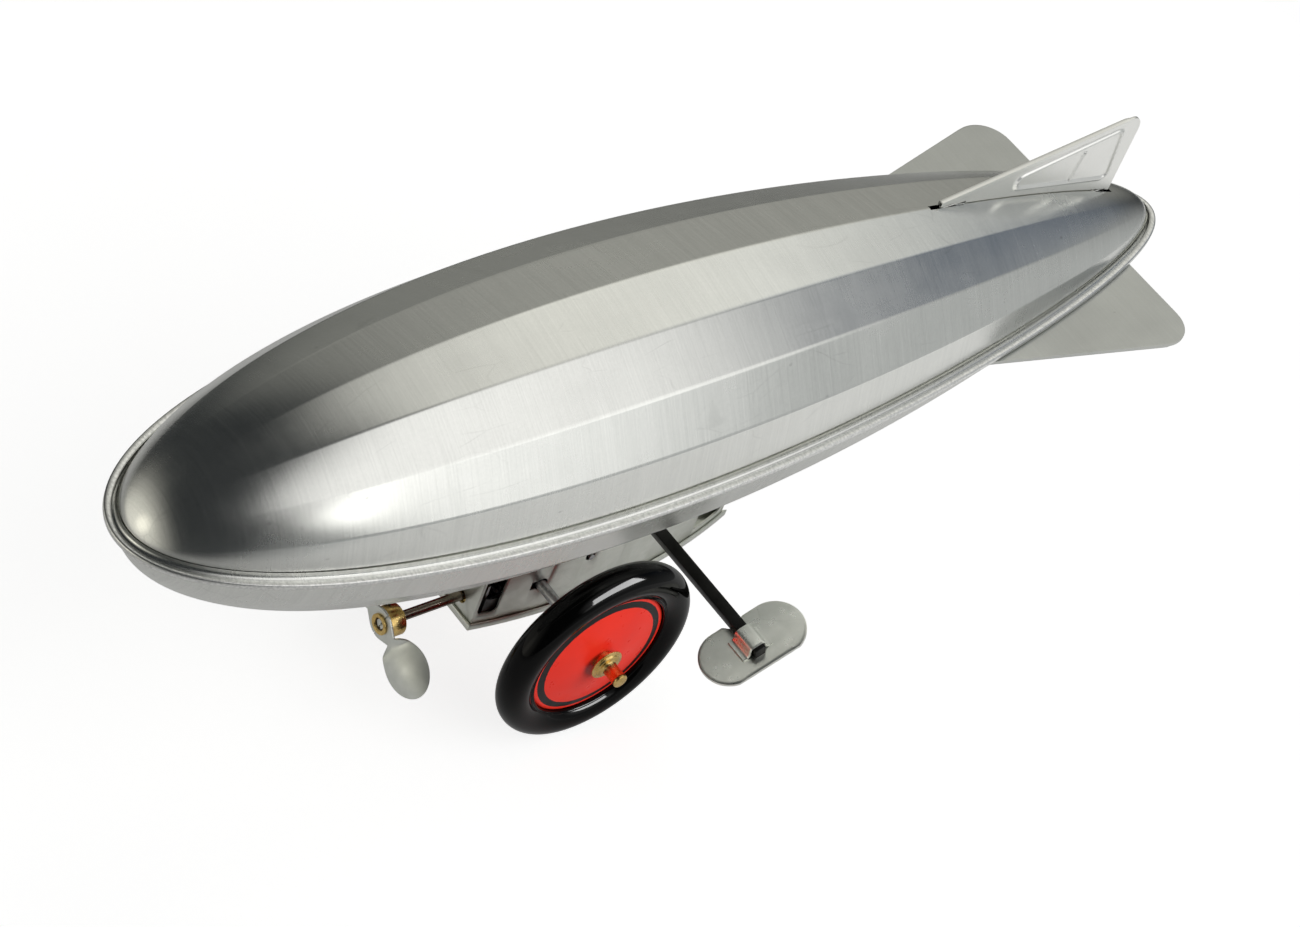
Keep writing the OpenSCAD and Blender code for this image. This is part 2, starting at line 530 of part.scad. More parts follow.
// thin leaf riveted to the great wheel, just behind the click's back
leaf_dir = click_dir + 62;
leaf_r = 11.6;
leaf_t = 0.36;
module click_spring() color(steel) {
  rivet = leaf_r * [cos(leaf_dir), sin(leaf_dir)];
  end = [click_x - key_x, click_z - key_z] + 3 * [cos(click_turn), sin(click_turn)] + 1.5 * [cos(click_turn - 90), sin(click_turn - 90)];
  way = atan2(end[1] - rivet[1], end[0] - rivet[0]);
  along_y(key_x, key_z, great_y[1], ratchet_y[1] - 0.2) linear_extrude(ratchet_y[1] - 0.2 - great_y[1]) translate(rivet) circle(1.2);
  along_y(key_x, key_z, ratchet_y[0], ratchet_y[1] - 0.2) linear_extrude(ratchet_y[1] - 0.2 - ratchet_y[0])
    translate(rivet) rotate([0, 0, way]) translate([0.6, -leaf_t / 2]) square([norm(end - rivet) - 0.6, leaf_t]);
}

module great_wheel() color(brass) {
  difference() {
    spur(key_x, key_z, n_great, gm, ab_dir, great_y[0], great_y[1], 2.2 + run_gap);
    for (a = [0 : 90 : 270]) let (c = ab_dir + 45 + a)
      pin_y(key_x + 9.4 * cos(c), key_z + 9.4 * sin(c), 2.6, great_y[0] - 1, great_y[1] + 1);
  }
  pin_y(click_x, click_z, pivot_pin, great_y[0] + 0.3, ratchet_y[1]);
}

module second_arbor() color(steel) {
  pin_y(second_x, second_z, pivot_r, -plate_y - 0.4, -5.2);
  pin_y(second_x, second_z, 1.6, -5.2, 5.2);
  pin_y(second_x, second_z, pivot_r, 5.2, lens_y(second_x, 0) + 0.6);
  spur(second_x, second_z, n_second_pinion, gm, ab_dir + 180 + 180 / n_second_pinion, great_y[0] - 0.3, great_y[1] + 0.3, 0);
}
module second_wheel() color(brass) {
  difference() {
    spur(second_x, second_z, n_second, gm, bc_dir, second_y[0], second_y[1], 1.6);
    for (a = [0 : 90 : 270]) let (c = bc_dir + 45 + a)
      pin_y(second_x + 6 * cos(c), second_z + 6 * sin(c), 2, second_y[0] - 1, second_y[1] + 1);
  }
  difference() {
    pin_y(second_x, second_z, 2.6, second_y[0] - 0.8, second_y[0]);
    pin_y(second_x, second_z, 1.6, second_y[0] - 2, second_y[0] + 2);
  }
}

// road axle with its two gears
tyre_y = track / 2;
disc_r = tyre_d / 2 - 9.5;
hub_in = tyre_y - 3.4;
hub_face = tyre_y + 5.8;
axle_end = tyre_y + 12;
module wheel_axle() color(steel) pin_y(axle_x, axle_z, axle_d / 2, -axle_end, axle_end);
module axle_pinion() color(brass)
  spur(axle_x, axle_z, n_axle_pinion, gm, bc_dir + 180 + 180 / n_axle_pinion, second_y[0] - 0.2, second_y[1] + 0.2, axle_d / 2);
module crown_drive_gear() color(brass)
  spur(axle_x, axle_z, n_crown_drive, gm, cd_dir, drive_y[0], drive_y[1], axle_d / 2);

// crown wheel and its arbor
crown_r = n_crown * crown_module / 2;
prop_pitch_r = n_prop * crown_module / 2;
module crown_arbor() color(steel) {
  pin_y(crown_x, shaft_z, pivot_r, -plate_y - 0.4, -5.1);
  pin_y(crown_x, shaft_z, 1.3, -5.1, 5.2);
  pin_y(crown_x, shaft_z, pivot_r, 5.2, plate_y + 0.4);
  spur(crown_x, shaft_z, n_crown_pinion, gm, cd_dir + 180 + 180 / n_crown_pinion, drive_y[0] - 0.1, drive_y[1] + 0.1, 0);
}
crown_root = -prop_pitch_r - 0.75;
module crown_wheel() color(brass) {
  difference() {
    pin_y(crown_x, shaft_z, crown_r + 0.6, crown_root - 0.9, crown_root);
    pin_y(crown_x, shaft_z, 1.3, crown_root - 2, crown_root + 2);
  }
  difference() {
    pin_y(crown_x, shaft_z, 2.2, crown_root - 1.4, crown_root - 0.9);
    pin_y(crown_x, shaft_z, 1.3, crown_root - 2, crown_root + 2);
  }
  for (i = [0 : n_crown - 1]) translate([crown_x, crown_root - 0.2, shaft_z])
    rotate([0, -360 * (i + 0.5) / n_crown, 0]) translate([crown_r - 0.55, 0, 0])
      rotate([90, 0, 90]) linear_extrude(1.15)
        polygon([[0, -0.42], [0.2, -0.42], [1.5, -0.14], [1.5, 0.14], [0.2, 0.42], [0, 0.42]]);
}

// propeller shaft, pinion and screw
shaft_x0 = crown_x + 1.3 + 0.6;
boss_front = 78.3;
shaft_end = boss_front - 3;
module prop_shaft() color(steel)
  translate([shaft_x0, 0, shaft_z]) rotate([0, 90, 0]) cylinder(r = prop_shaft_d / 2, h = shaft_end - shaft_x0);
module prop_pinion() color(brass)
  translate([crown_x + crown_r - 0.75, 0, shaft_z]) rotate([0, 90, 0]) rotate([0, 0, -90]) linear_extrude(1.5) difference() {
    polygon(gear_outline(n_prop, crown_module, 2));
    circle(prop_shaft_d / 2);
  }
prop_plate = [boss_front - 1.3, boss_front - 0.6];
collar_r = 4.5;
collar_back = boss_front - 6.2;
neck_r = 2.4;
washer_r = 3.05;
module along_x(x, r, h, n = 64) translate([x, 0, 0]) rotate([0, 90, 0]) cylinder(r = r, h = h, $fn = n);
// collar, neck through the propeller, and the washer turned down over it with a six-sided socket
module prop_boss() color(brass) translate([0, 0, shaft_z]) difference() {
  union() {
    along_x(collar_back, collar_r, prop_plate[0] - collar_back);
    along_x(prop_plate[0] - 0.5, neck_r, prop_plate[1] - prop_plate[0] + 0.9);
    along_x(prop_plate[1], washer_r, boss_front - prop_plate[1]);
  }
  along_x(collar_back - 2, prop_shaft_d / 2, shaft_end - collar_back + 2);
  along_x(boss_front - 2.6, 1.6, 5, 6);
}
blade_turn = -15.5;
blade_root = 5;
blade_len = prop_d / 2 - blade_root;
blade_w = 12.9;
blade_t = 0.7;
spoon_r = 34;
plate_r = 4.9;
plate_ear = 6.4;     // where the plate's two ears end, and their radius
ear_r = 1.2;
// egg drawn round the blade's middle line and run into a narrow neck
function blade_half(t) = blade_w / 2 * sin(180 * pow(t, 0.86)) + 1.35 * pow(1 - t, 3);
function blade_outline() = let (n = 26, x0 = blade_root - 1.2, l = blade_len + 1.2)
  concat([for (i = [0 : n]) let (t = (1 - cos(180 * i / n)) / 2) [x0 + l * t, -blade_half(t)]],
    [for (i = [n - 1 : -1 : 0]) let (t = (1 - cos(180 * i / n)) / 2) [x0 + l * t, blade_half(t)]]);
// flat plate with an ear towards each blade
function ear_plate() = let (b = acos((plate_r - ear_r) / plate_ear)) concat(
  [for (i = [0 : 10]) let (a = b + (180 - 2 * b) * i / 10) plate_r * [cos(a), sin(a)]],
  [for (i = [0 : 6]) let (a = 180 - b + 2 * b * i / 6) [-plate_ear, 0] + ear_r * [cos(a), sin(a)]],
  [for (i = [0 : 10]) let (a = 180 + b + (180 - 2 * b) * i / 10) plate_r * [cos(a), sin(a)]],
  [for (i = [0 : 6]) let (a = -b + 2 * b * i / 6) [plate_ear, 0] + ear_r * [cos(a), sin(a)]]);
module blade() {
  // along local x: neck, then an egg-shaped spoon cut from a thin hollow ball
  intersection() {
    translate([blade_root + blade_len / 2, 0, -spoon_r + 0.9]) difference() {
      sphere(spoon_r, $fn = 96);
      sphere(spoon_r - blade_t, $fn = 96);
    }
    translate([0, 0, -3]) linear_extrude(6) polygon(blade_outline());
  }
}
module propeller() color(tin) translate([0, 0, shaft_z]) difference() {
  union() {
    rotate([blade_turn, 0, 0]) translate([prop_plate[0], 0, 0]) rotate([90, 0, 90])
      linear_extrude(prop_plate[1] - prop_plate[0]) polygon(ear_plate());
    for (m = [0, 180]) rotate([m + blade_turn, 0, 0]) translate([(prop_plate[0] + prop_plate[1]) / 2, 0, 0])
      rotate([0, 0, 90]) rotate([90 - prop_pitch, 0, 0]) blade();
  }
  along_x(collar_back, neck_r, 20);
  // the twisted blade roots are trimmed flush with the collar and the washer
  along_x(collar_back - 1, collar_r + lap, prop_plate[0] - collar_back + 1);
  along_x(prop_plate[1], washer_r + lap, 6);
}

// road wheels
module disc() color(red) translate([axle_x, 0, axle_z]) rotate([-90, 0, 0]) rotate_extrude($fn = 96)
  polygon([[3, tyre_y + 3.2], [3, tyre_y + 4], [8, tyre_y + 3.9], [13, tyre_y + 3.3], [disc_r - 3, tyre_y + 2.4], [disc_r, tyre_y + 1.9],
    [disc_r, tyre_y - 2.4], [disc_r - 0.8, tyre_y - 2.4], [disc_r - 0.8, tyre_y + 1.2], [disc_r - 3, tyre_y + 1.6], [13, tyre_y + 2.5], [8, tyre_y + 3.1]]);
module tyre() color(black) translate([axle_x, 0, axle_z]) rotate([-90, 0, 0]) rotate_extrude($fn = 96) difference() {
  union() {
    translate([tyre_d / 2 - tyre_w / 2, tyre_y]) circle(tyre_w / 2, $fn = 64);
    translate([disc_r, tyre_y - 2.4]) square([3, 4.8]);
  }
  translate([0, tyre_y - 10]) square([disc_r, 20]);
}
// hub bush: a tube through the disc, a stepped flange, and a barrel closed over the axle's end
hub_r = 3;
barrel_r = axle_d / 2 + 0.5;
module bush() color(brass) translate([axle_x, 0, axle_z]) rotate([-90, 0, 0]) difference() {
  rotate_extrude() polygon([[0, hub_in], [hub_r, hub_in], [hub_r, hub_face], [4.6, hub_face], [4.9, hub_face + 0.3],
    [4.6, hub_face + 0.6], [3.8, hub_face + 0.7], [3.5, hub_face + 1.2], [2.7, hub_face + 1.3], [barrel_r, hub_face + 1.9],
    [barrel_r, axle_end + 0.3], [barrel_r - 0.5, axle_end + 0.8], [0, axle_end + 0.8]]);
  translate([0, 0, hub_in - 1]) cylinder(r = axle_d / 2, h = axle_end - hub_in + 1);
}
module port_disc() disc();
module starboard_disc() mirror([0, 1, 0]) disc();
module port_tyre() tyre();
module starboard_tyre() mirror([0, 1, 0]) tyre();
module port_bush() bush();
module starboard_bush() mirror([0, 1, 0]) bush();

upper_hull();
lower_hull();
top_fin();
bottom_fin();
port_fin();
starboard_fin();
gondola_body();
gondola_tray();
port_plate();
starboard_plate();
plate_pillar();
front_bracket();
shaft_bush();
mainspring();
winding_arbor();
key_handle();
ratchet_wheel();
click();
click_spring();
great_wheel();
second_arbor();
second_wheel();
wheel_axle();
axle_pinion();
crown_drive_gear();
crown_arbor();
crown_wheel();
prop_shaft();
prop_pinion();
prop_boss();
propeller();
port_disc();
starboard_disc();
port_tyre();
starboard_tyre();
port_bush();
starboard_bush();
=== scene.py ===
import math
import bpy
import bmesh
from mathutils import Matrix, Vector


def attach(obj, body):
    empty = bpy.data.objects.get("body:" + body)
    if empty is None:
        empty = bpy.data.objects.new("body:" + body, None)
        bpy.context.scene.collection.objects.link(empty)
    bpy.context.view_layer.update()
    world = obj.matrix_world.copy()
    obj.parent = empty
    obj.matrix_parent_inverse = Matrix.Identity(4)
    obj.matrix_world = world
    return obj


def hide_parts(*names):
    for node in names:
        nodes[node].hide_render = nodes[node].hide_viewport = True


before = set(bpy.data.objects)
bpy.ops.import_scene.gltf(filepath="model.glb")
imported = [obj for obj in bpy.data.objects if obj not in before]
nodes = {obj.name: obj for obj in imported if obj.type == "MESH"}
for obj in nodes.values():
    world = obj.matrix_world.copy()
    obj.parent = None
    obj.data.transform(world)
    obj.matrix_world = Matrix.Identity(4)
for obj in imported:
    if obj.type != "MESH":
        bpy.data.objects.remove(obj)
mm = 0.001
# points nearer than this are merged, in metres: on drawn sheets, on spun or CAD shapes
mergeGap = dict(sheet=1e-6, spun=2e-6)


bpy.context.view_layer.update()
print("stage: frame loaded")

# small helpers


def deselectAll():
    if bpy.context.object and bpy.context.object.mode != "OBJECT":
        bpy.ops.object.mode_set(mode="OBJECT")
    bpy.ops.object.select_all(action="DESELECT")


def only(obj):
    deselectAll()
    obj.select_set(True)
    bpy.context.view_layer.objects.active = obj


def settle(obj):
    # place goes into the mesh, the object stays at the origin
    only(obj)
    bpy.ops.object.transform_apply(location=True, rotation=True, scale=True)
    return obj


def applyAll(obj):
    only(obj)
    for m in list(obj.modifiers):
        bpy.ops.object.modifier_apply(modifier=m.name)
    return obj


def smooth(obj, angle):
    only(obj)
    bpy.ops.object.shade_smooth_by_angle(angle=math.radians(angle))
    return obj


def named(name):
    obj = bpy.context.object
    obj.name = name
    obj.data.name = name
    return obj


def bevel(obj, width, angle=50, segments=2):
    # eases the edges sharper than the angle, by a width in millimetres
    m = obj.modifiers.new("bevel", "BEVEL")
    m.width = width * mm
    m.segments = segments
    m.limit_method = "ANGLE"
    m.angle_limit = math.radians(angle)
    m.use_clamp_overlap = True
    return applyAll(obj)


def sheeted(obj, thickness, offset):
    # gives a surface its sheet thickness: offset -1 grows inward, 0 to both sides
    m = obj.modifiers.new("sheet", "SOLIDIFY")
    m.thickness = thickness * mm
    m.offset = offset
    return applyAll(obj)


def cut(obj, cutter):
    m = obj.modifiers.new("cut", "BOOLEAN")
    m.operation = "DIFFERENCE"
    m.solver = "EXACT"
    m.object = cutter
    applyAll(obj)
    bpy.data.objects.remove(cutter)


def addBox(low, high, name="cutter"):
    # a block between two corners, in millimetres
    deselectAll()
    c = [(a + b) / 2 * mm for a, b in zip(low, high)]
    bpy.ops.mesh.primitive_cube_add(size=1, location=c)
    obj = named(name)
    obj.scale = [(b - a) * mm for a, b in zip(low, high)]
    return settle(obj)


def outward(obj, gap=mergeGap["sheet"]):
    # doubles merged and normals turned outward
    only(obj)
    bpy.ops.object.mode_set(mode="EDIT")
    bpy.ops.mesh.select_all(action="SELECT")
    bpy.ops.mesh.remove_doubles(threshold=gap)
    bpy.ops.mesh.normals_make_consistent(inside=False)
    bpy.ops.object.mode_set(mode="OBJECT")
    return obj


def dressed(name, width, flatten):
    # a copy of a CAD node with its doubles merged and its edges eased
    obj = bpy.data.objects.new(name + ".dressed", nodes[name].data.copy())
    bpy.context.scene.collection.objects.link(obj)
    only(obj)
    bpy.ops.object.mode_set(mode="EDIT")
    bpy.ops.mesh.select_all(action="SELECT")
    bpy.ops.mesh.remove_doubles(threshold=mergeGap["spun"])
    if flatten:
        bpy.ops.mesh.dissolve_limited(angle_limit=math.radians(1.5))
    bpy.ops.object.mode_set(mode="OBJECT")
    bevel(obj, width, 35)
    smooth(obj, 38)
    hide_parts(name)
    return obj


def place(obj, body, material):
    obj.data.materials.clear()
    obj.data.materials.append(material)
    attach(obj, body)
    return obj


# shader helpers


def feed(tree, socket, value):
    # a number, colour or direction is set on the socket, an output is linked to it
    if isinstance(value, (int, float)):
        socket.default_value = value
    elif isinstance(value, (tuple, list, Vector)):
        socket.default_value = (*value, 1.0) if socket.type == "RGBA" else value
    else:
        tree.links.new(value, socket)


def addNode(tree, kind, inputs):
    # a shader node with some of its inputs fed, by their names or numbers
    n = tree.nodes.new("ShaderNode" + kind)
    for key, value in inputs.items():
        feed(tree, n.inputs[key], value)
    return n


def math2(tree, op, *values, clamp=False):
    n = addNode(tree, "Math", dict(enumerate(values)))
    n.operation = op
    n.use_clamp = clamp
    return n.outputs[0]


def weighted(tree, *parts):
    # the sum of some values, each times its weight
    total = None
    for value, weight in parts:
        part = math2(tree, "MULTIPLY", value, weight)
        total = part if total is None else math2(tree, "ADD", total, part)
    return total


def vectorMath(tree, op, *values):
    n = tree.nodes.new("ShaderNodeVectorMath")
    n.operation = op
    for k, value in enumerate(values):
        feed(tree, n.inputs[k], value)
    return n.outputs


def mixColor(tree, fac, a, b, mode="MIX"):
    n = tree.nodes.new("ShaderNodeMix")
    n.data_type = "RGBA"
    n.blend_type = mode
    # the mix node keeps its colour sockets at 6 and 7
    for k, value in ((0, fac), (6, a), (7, b)):
        feed(tree, n.inputs[k], value)
    return n.outputs[2]


def ramp(tree, fac, *stops):
    # from grey to grey between two stops of (position, value)
    n = addNode(tree, "ValToRGB", {"Fac": fac})
    for e, (p, v) in zip(n.color_ramp.elements, stops):
        e.position = p
        e.color = (v, v, v, 1)
    return n.outputs[0]


def softStep(tree, value, low, high, top=1.0):
    n = addNode(tree, "MapRange", {"Value": value, "From Min": low, "From Max": high, "To Max": top})
    n.interpolation_type = "SMOOTHSTEP"
    return n.outputs[0]


def noise(tree, vector, scale, detail, rough=0.5):
    values = {"Vector": vector, "Scale": scale, "Detail": detail, "Roughness": rough}
    return addNode(tree, "TexNoise", values).outputs["Fac"]


def stretched(tree, vector, turn, scale):
    values = {"Vector": vector, "Rotation": [math.radians(v) for v in turn], "Scale": scale}
    return addNode(tree, "Mapping", values).outputs[0]


def newGroup(name, extra, value, outputs):
    # a node group with a Vector input, one more input and number outputs
    g = bpy.data.node_groups.new(name, "ShaderNodeTree")
    g.interface.new_socket(name="Vector", in_out="INPUT", socket_type="NodeSocketVector")
    kind = "NodeSocketFloat" if isinstance(value, float) else "NodeSocketVector"
    g.interface.new_socket(name=extra, in_out="INPUT", socket_type=kind).default_value = value
    for n in outputs:
        g.interface.new_socket(name=n, in_out="OUTPUT", socket_type="NodeSocketFloat")
    return g, g.nodes.new("NodeGroupInput"), g.nodes.new("NodeGroupOutput")


# shared effects

wear = dict(
    # turn, stretch, bend and width of each layer of scratches
    layers=(((0, 0, 14), (22, 70, 70), 0.7, 0.011),
            ((0, 25, -38), (34, 80, 120), 0.6, 0.012),
            ((30, 0, 75), (30, 130, 80), 0.8, 0.013)),
    bendScale=0.7, core=0.3, patchScale=38, patchStep=9, patchTurn=40, patchFrom=0.56, patchTo=0.66,
    pitScale=260, pitTurn=(20, 35, 15), pitStretch=(0.55, 1, 1), pitCore=0.06, pitEdge=0.13, pitAbove=0.86,
    pitPatchScale=30, pitPatchFrom=0.44, pitPatchTo=0.6, markTurn=(0, 0, 8), markStretch=(20, 34, 34),
)


def scratchLayer(tree, vector, turn, stretch, bend, width):
    # thin broken curves: the walls between drawn-out cells, bent by noise
    v = stretched(tree, vector, turn, stretch)
    shift = addNode(tree, "TexNoise", {"Vector": v, "Scale": wear["bendScale"]}).outputs["Color"]
    bent = vectorMath(tree, "MULTIPLY_ADD", shift, (bend, bend, bend), v)[0]
    cells = addNode(tree, "TexVoronoi", {"Vector": bent, "Scale": 1.0})
    cells.feature = "DISTANCE_TO_EDGE"
    return ramp(tree, cells.outputs["Distance"], (width * wear["core"], 1.0), (width, 0.0))


def makeScratchGroup():
    # fine handling scratches, small pits and soft cloudy marks
    g, gi, go = newGroup("scratches", "Amount", 0.5, ("Mask", "Pits", "Marks"))
    vector, amount = gi.outputs["Vector"], gi.outputs["Amount"]
    total = None
    for k, layer in enumerate(wear["layers"]):
        line = scratchLayer(g, vector, *layer)
        turned = stretched(g, vector, (0, 0, wear["patchTurn"] * k), (1, 1, 1))
        cloud = noise(g, turned, wear["patchScale"] + wear["patchStep"] * k, 2, 0.55)
        line = math2(g, "MULTIPLY", line, ramp(g, cloud, (wear["patchFrom"], 0.0), (wear["patchTo"], 1.0)))
        total = line if total is None else math2(g, "MAXIMUM", total, line)
    g.links.new(math2(g, "MULTIPLY", total, amount, clamp=True), go.inputs["Mask"])
    turned = stretched(g, vector, wear["pitTurn"], wear["pitStretch"])
    spots = addNode(g, "TexVoronoi", {"Vector": turned, "Scale": wear["pitScale"]}).outputs
    chance = addNode(g, "SeparateColor", {0: spots["Color"]}).outputs[0]
    dots = math2(g, "MULTIPLY", ramp(g, spots["Distance"], (wear["pitCore"], 1.0), (wear["pitEdge"], 0.0)),
                 math2(g, "GREATER_THAN", chance, wear["pitAbove"]))
    where = ramp(g, noise(g, vector, wear["pitPatchScale"], 2), (wear["pitPatchFrom"], 0.0), (wear["pitPatchTo"], 1.0))
    g.links.new(math2(g, "MULTIPLY", math2(g, "MULTIPLY", dots, where), amount, clamp=True), go.inputs["Pits"])
    marks = noise(g, stretched(g, vector, wear["markTurn"], wear["markStretch"]), 1.0, 4, 0.6)
    g.links.new(marks, go.inputs["Marks"])
    return g


def makeGrainGroup():
    # the fine grain left by rolling or turning, run along one axis
    g, gi, go = newGroup("rolledGrain", "Along", (40, 900, 900), ("Grain",))
    drawn = vectorMath(g, "MULTIPLY", gi.outputs["Vector"], gi.outputs["Along"])[0]
    g.links.new(noise(g, drawn, 1.0, 3, 0.6), go.inputs["Grain"])
    return g


def makeSpangleGroup():
    # faint crystal patches of a tinned or galvanised coat
    g, gi, go = newGroup("spangle", "Size", 700.0, ("Patch",))
    cells = addNode(g, "TexVoronoi", {"Vector": gi.outputs["Vector"], "Scale": gi.outputs["Size"]})
    cells.feature = "SMOOTH_F1"
    crystal = addNode(g, "SeparateColor", {0: cells.outputs["Color"]}).outputs[0]
    soft = noise(g, gi.outputs["Vector"], 240, 4, 0.65)
    g.links.new(weighted(g, (crystal, 0.25), (soft, 0.75)), go.inputs["Patch"])
    return g


scratchGroup = makeScratchGroup()
grainGroup = makeGrainGroup()
spangleGroup = makeSpangleGroup()

# materials


def newMaterial(name):
    m = bpy.data.materials.new(name)
    m.use_nodes = True
    t = m.node_tree
    shader = next(n for n in t.nodes if n.type == "BSDF_PRINCIPLED")
    co = t.nodes.new("ShaderNodeTexCoord").outputs["Object"]
    return m, t, shader, co


def useGroup(tree, group, co, **values):
    n = tree.nodes.new("ShaderNodeGroup")
    n.node_tree = group
    for key, value in dict(values, Vector=co).items():
        feed(tree, n.inputs[key], value)
    return n.outputs


def coat(tree, shader, base, rough, metallic=1.0):
    tree.links.new(base, shader.inputs["Base Color"])
    tree.links.new(rough, shader.inputs["Roughness"])
    shader.inputs["Metallic"].default_value = metallic


def bump(tree, shader, height, strength, distance):
    n = addNode(tree, "Bump", {"Height": height, "Strength": strength, "Distance": distance})
    tree.links.new(n.outputs[0], shader.inputs["Normal"])


hullFinish = dict(
    dark=(0.735, 0.742, 0.71), light=(0.855, 0.86, 0.825), scratchTone=(0.44, 0.44, 0.42), scratch=0.5, lines=0.3,
    roughLow=0.21, roughHigh=0.29, grain=0.08, fine=(1900, 45, 45), broad=(240, 14, 14), tooth=1300,
)
# the side fins' copy of the hull's metal, much darker: painted shade on the side fins
sideFinShadedFinish = dict(
    hullFinish, dark=(0.53, 0.54, 0.515), light=(0.585, 0.595, 0.57), scratchTone=(0.34, 0.34, 0.33), scratch=0.3,
    roughLow=0.30, roughHigh=0.40,
)
# the top fin's copy of the hull's metal, lighter than the low fin's: painted light on the top fin
topFinLitFinish = dict(
    hullFinish, dark=(0.90, 0.90, 0.865), light=(0.95, 0.95, 0.92), scratch=0.2, roughLow=0.28, roughHigh=0.36,
)


def makeHullMetal(name, finish):
    # satin aluminium, rubbed round the hull, so that its grain runs across the length
    m, t, s, co = newMaterial(name)
    g = useGroup(t, scratchGroup, co, Amount=finish["scratch"])
    fine = useGroup(t, grainGroup, co, Along=finish["fine"])["Grain"]
    broad = useGroup(t, grainGroup, co, Along=finish["broad"])["Grain"]
    tooth = noise(t, co, finish["tooth"], 2, 0.6)
    grain = weighted(t, (fine, 0.5), (broad, 0.25), (tooth, 0.25))
    base = mixColor(t, ramp(t, grain, (0.32, 0.0), (0.68, 1.0)), finish["dark"], finish["light"])
    worn = math2(t, "MAXIMUM", math2(t, "MULTIPLY", g["Mask"], finish["lines"]), g["Pits"])
    base = mixColor(t, worn, base, finish["scratchTone"])
    cloudy = ramp(t, g["Marks"], (0.35, finish["roughHigh"]), (0.66, finish["roughLow"]))
    uneven = math2(t, "MULTIPLY", math2(t, "SUBTRACT", grain, 0.5), finish["grain"])
    coat(t, s, base, math2(t, "ADD", cloudy, uneven, clamp=True))
    bump(t, s, broad, 0.05, 0.00005)
    return m


# the lip's tones, lighter than the hull's own sheet: partly a painted highlight along the seam, partly speckled wear
rimWearAndSheenFinish = dict(dark=(0.73, 0.735, 0.715), light=(0.91, 0.91, 0.885), roughLow=0.28, roughHigh=0.40, speckScale=1500)


def makeRimMetal():
    # the rolled lip along the seam, dulled and pitted by handling; its tones, lighter than the hull's sheet, are partly
    # a painted highlight
    m, t, s, co = newMaterial("rimWearAndSheenMetal")
    pits = useGroup(t, scratchGroup, co, Amount=1.0)["Pits"]
    drawn = stretched(t, co, (0, 0, 0), (1, 0.6, 1))
    speck = ramp(t, noise(t, drawn, rimWearAndSheenFinish["speckScale"], 2, 0.55), (0.34, 0.0), (0.62, 1.0))
    base = mixColor(t, pits, mixColor(t, speck, rimWearAndSheenFinish["dark"], rimWearAndSheenFinish["light"]), rimWearAndSheenFinish["dark"])
    coat(t, s, base, ramp(t, speck, (0.0, rimWearAndSheenFinish["roughHigh"]), (1.0, rimWearAndSheenFinish["roughLow"])))
    bump(t, s, speck, 0.04, 0.00004)
    return m


tinFinishes = {
    # dark tone, light tone, low and high roughness, spangle, amount of scratches
    "dullTin": ((0.72, 0.735, 0.67), (0.79, 0.80, 0.74), 0.3, 0.4, 600.0, 0.45),
    "keyTin": ((0.84, 0.855, 0.79), (0.93, 0.94, 0.88), 0.24, 0.34, 600.0, 0.6),
    "screwTin": ((0.72, 0.74, 0.69), (0.80, 0.815, 0.77), 0.38, 0.48, 600.0, 0.4),
    "plainSteel": ((0.30, 0.30, 0.31), (0.52, 0.52, 0.53), 0.24, 0.42, 1600.0, 0.6),
    "springSteel": ((0.10, 0.11, 0.15), (0.24, 0.26, 0.32), 0.22, 0.36, 1400.0, 0.5),
    "brownedShaft": ((0.22, 0.185, 0.15), (0.28, 0.24, 0.20), 0.2, 0.3, 700.0, 0.4),
    # the movement's plates, darkened to stand for the shade inside the gondola: painted shade
    "platePaintedShade": ((0.10, 0.10, 0.10), (0.20, 0.20, 0.20), 0.42, 0.55, 900.0, 0.6),
    # the hex socket's inside, darkened: painted shade in the recess
    "socketPaintedShade": ((0.05, 0.035, 0.02), (0.10, 0.07, 0.035), 0.4, 0.55, 900.0, 0.3),
}


def makeTin(name, dark, light, roughLow, roughHigh, spangle, amount):
    m, t, s, co = newMaterial(name)
    p = useGroup(t, spangleGroup, co, Size=spangle)["Patch"]
    g = useGroup(t, scratchGroup, co, Amount=amount * 0.6)
    base = mixColor(t, ramp(t, p, (0.3, 0.0), (0.75, 1.0)), dark, light)
    worn = math2(t, "MAXIMUM", math2(t, "MULTIPLY", g["Mask"], 0.35), g["Pits"])
    base = mixColor(t, worn, base, [0.55 * c for c in dark])
    coat(t, s, base, ramp(t, p, (0.3, roughHigh), (0.75, roughLow)))
    bump(t, s, p, 0.02, 0.00005)
    return m


brassFinish = dict(dark=(0.52, 0.33, 0.09), light=(0.86, 0.62, 0.24), roughLow=0.16, roughHigh=0.36,
                   grain=(2200, 300, 2200), tarnishScale=260)


def makeBrass():
    m, t, s, co = newMaterial("turnedBrass")
    grain = useGroup(t, grainGroup, co, Along=brassFinish["grain"])["Grain"]
    tarnish = ramp(t, noise(t, co, brassFinish["tarnishScale"], 3, 0.6), (0.32, 0.0), (0.62, 1.0))
    base = mixColor(t, tarnish, brassFinish["dark"], brassFinish["light"])
    coat(t, s, base, ramp(t, grain, (0.3, brassFinish["roughLow"]), (0.7, brassFinish["roughHigh"])))
    bump(t, s, grain, 0.25, 0.00004)
    return m


blackFinishes = {
    # dark tone, light tone, low and high roughness, shine
    "blackenedRod": ((0.0025, 0.0025, 0.002), (0.008, 0.0075, 0.0065), 0.3, 0.44, 0.22),
    "tyreGloss": ((0.0015, 0.0015, 0.0015), (0.003, 0.003, 0.003), 0.06, 0.10, 0.13),
}


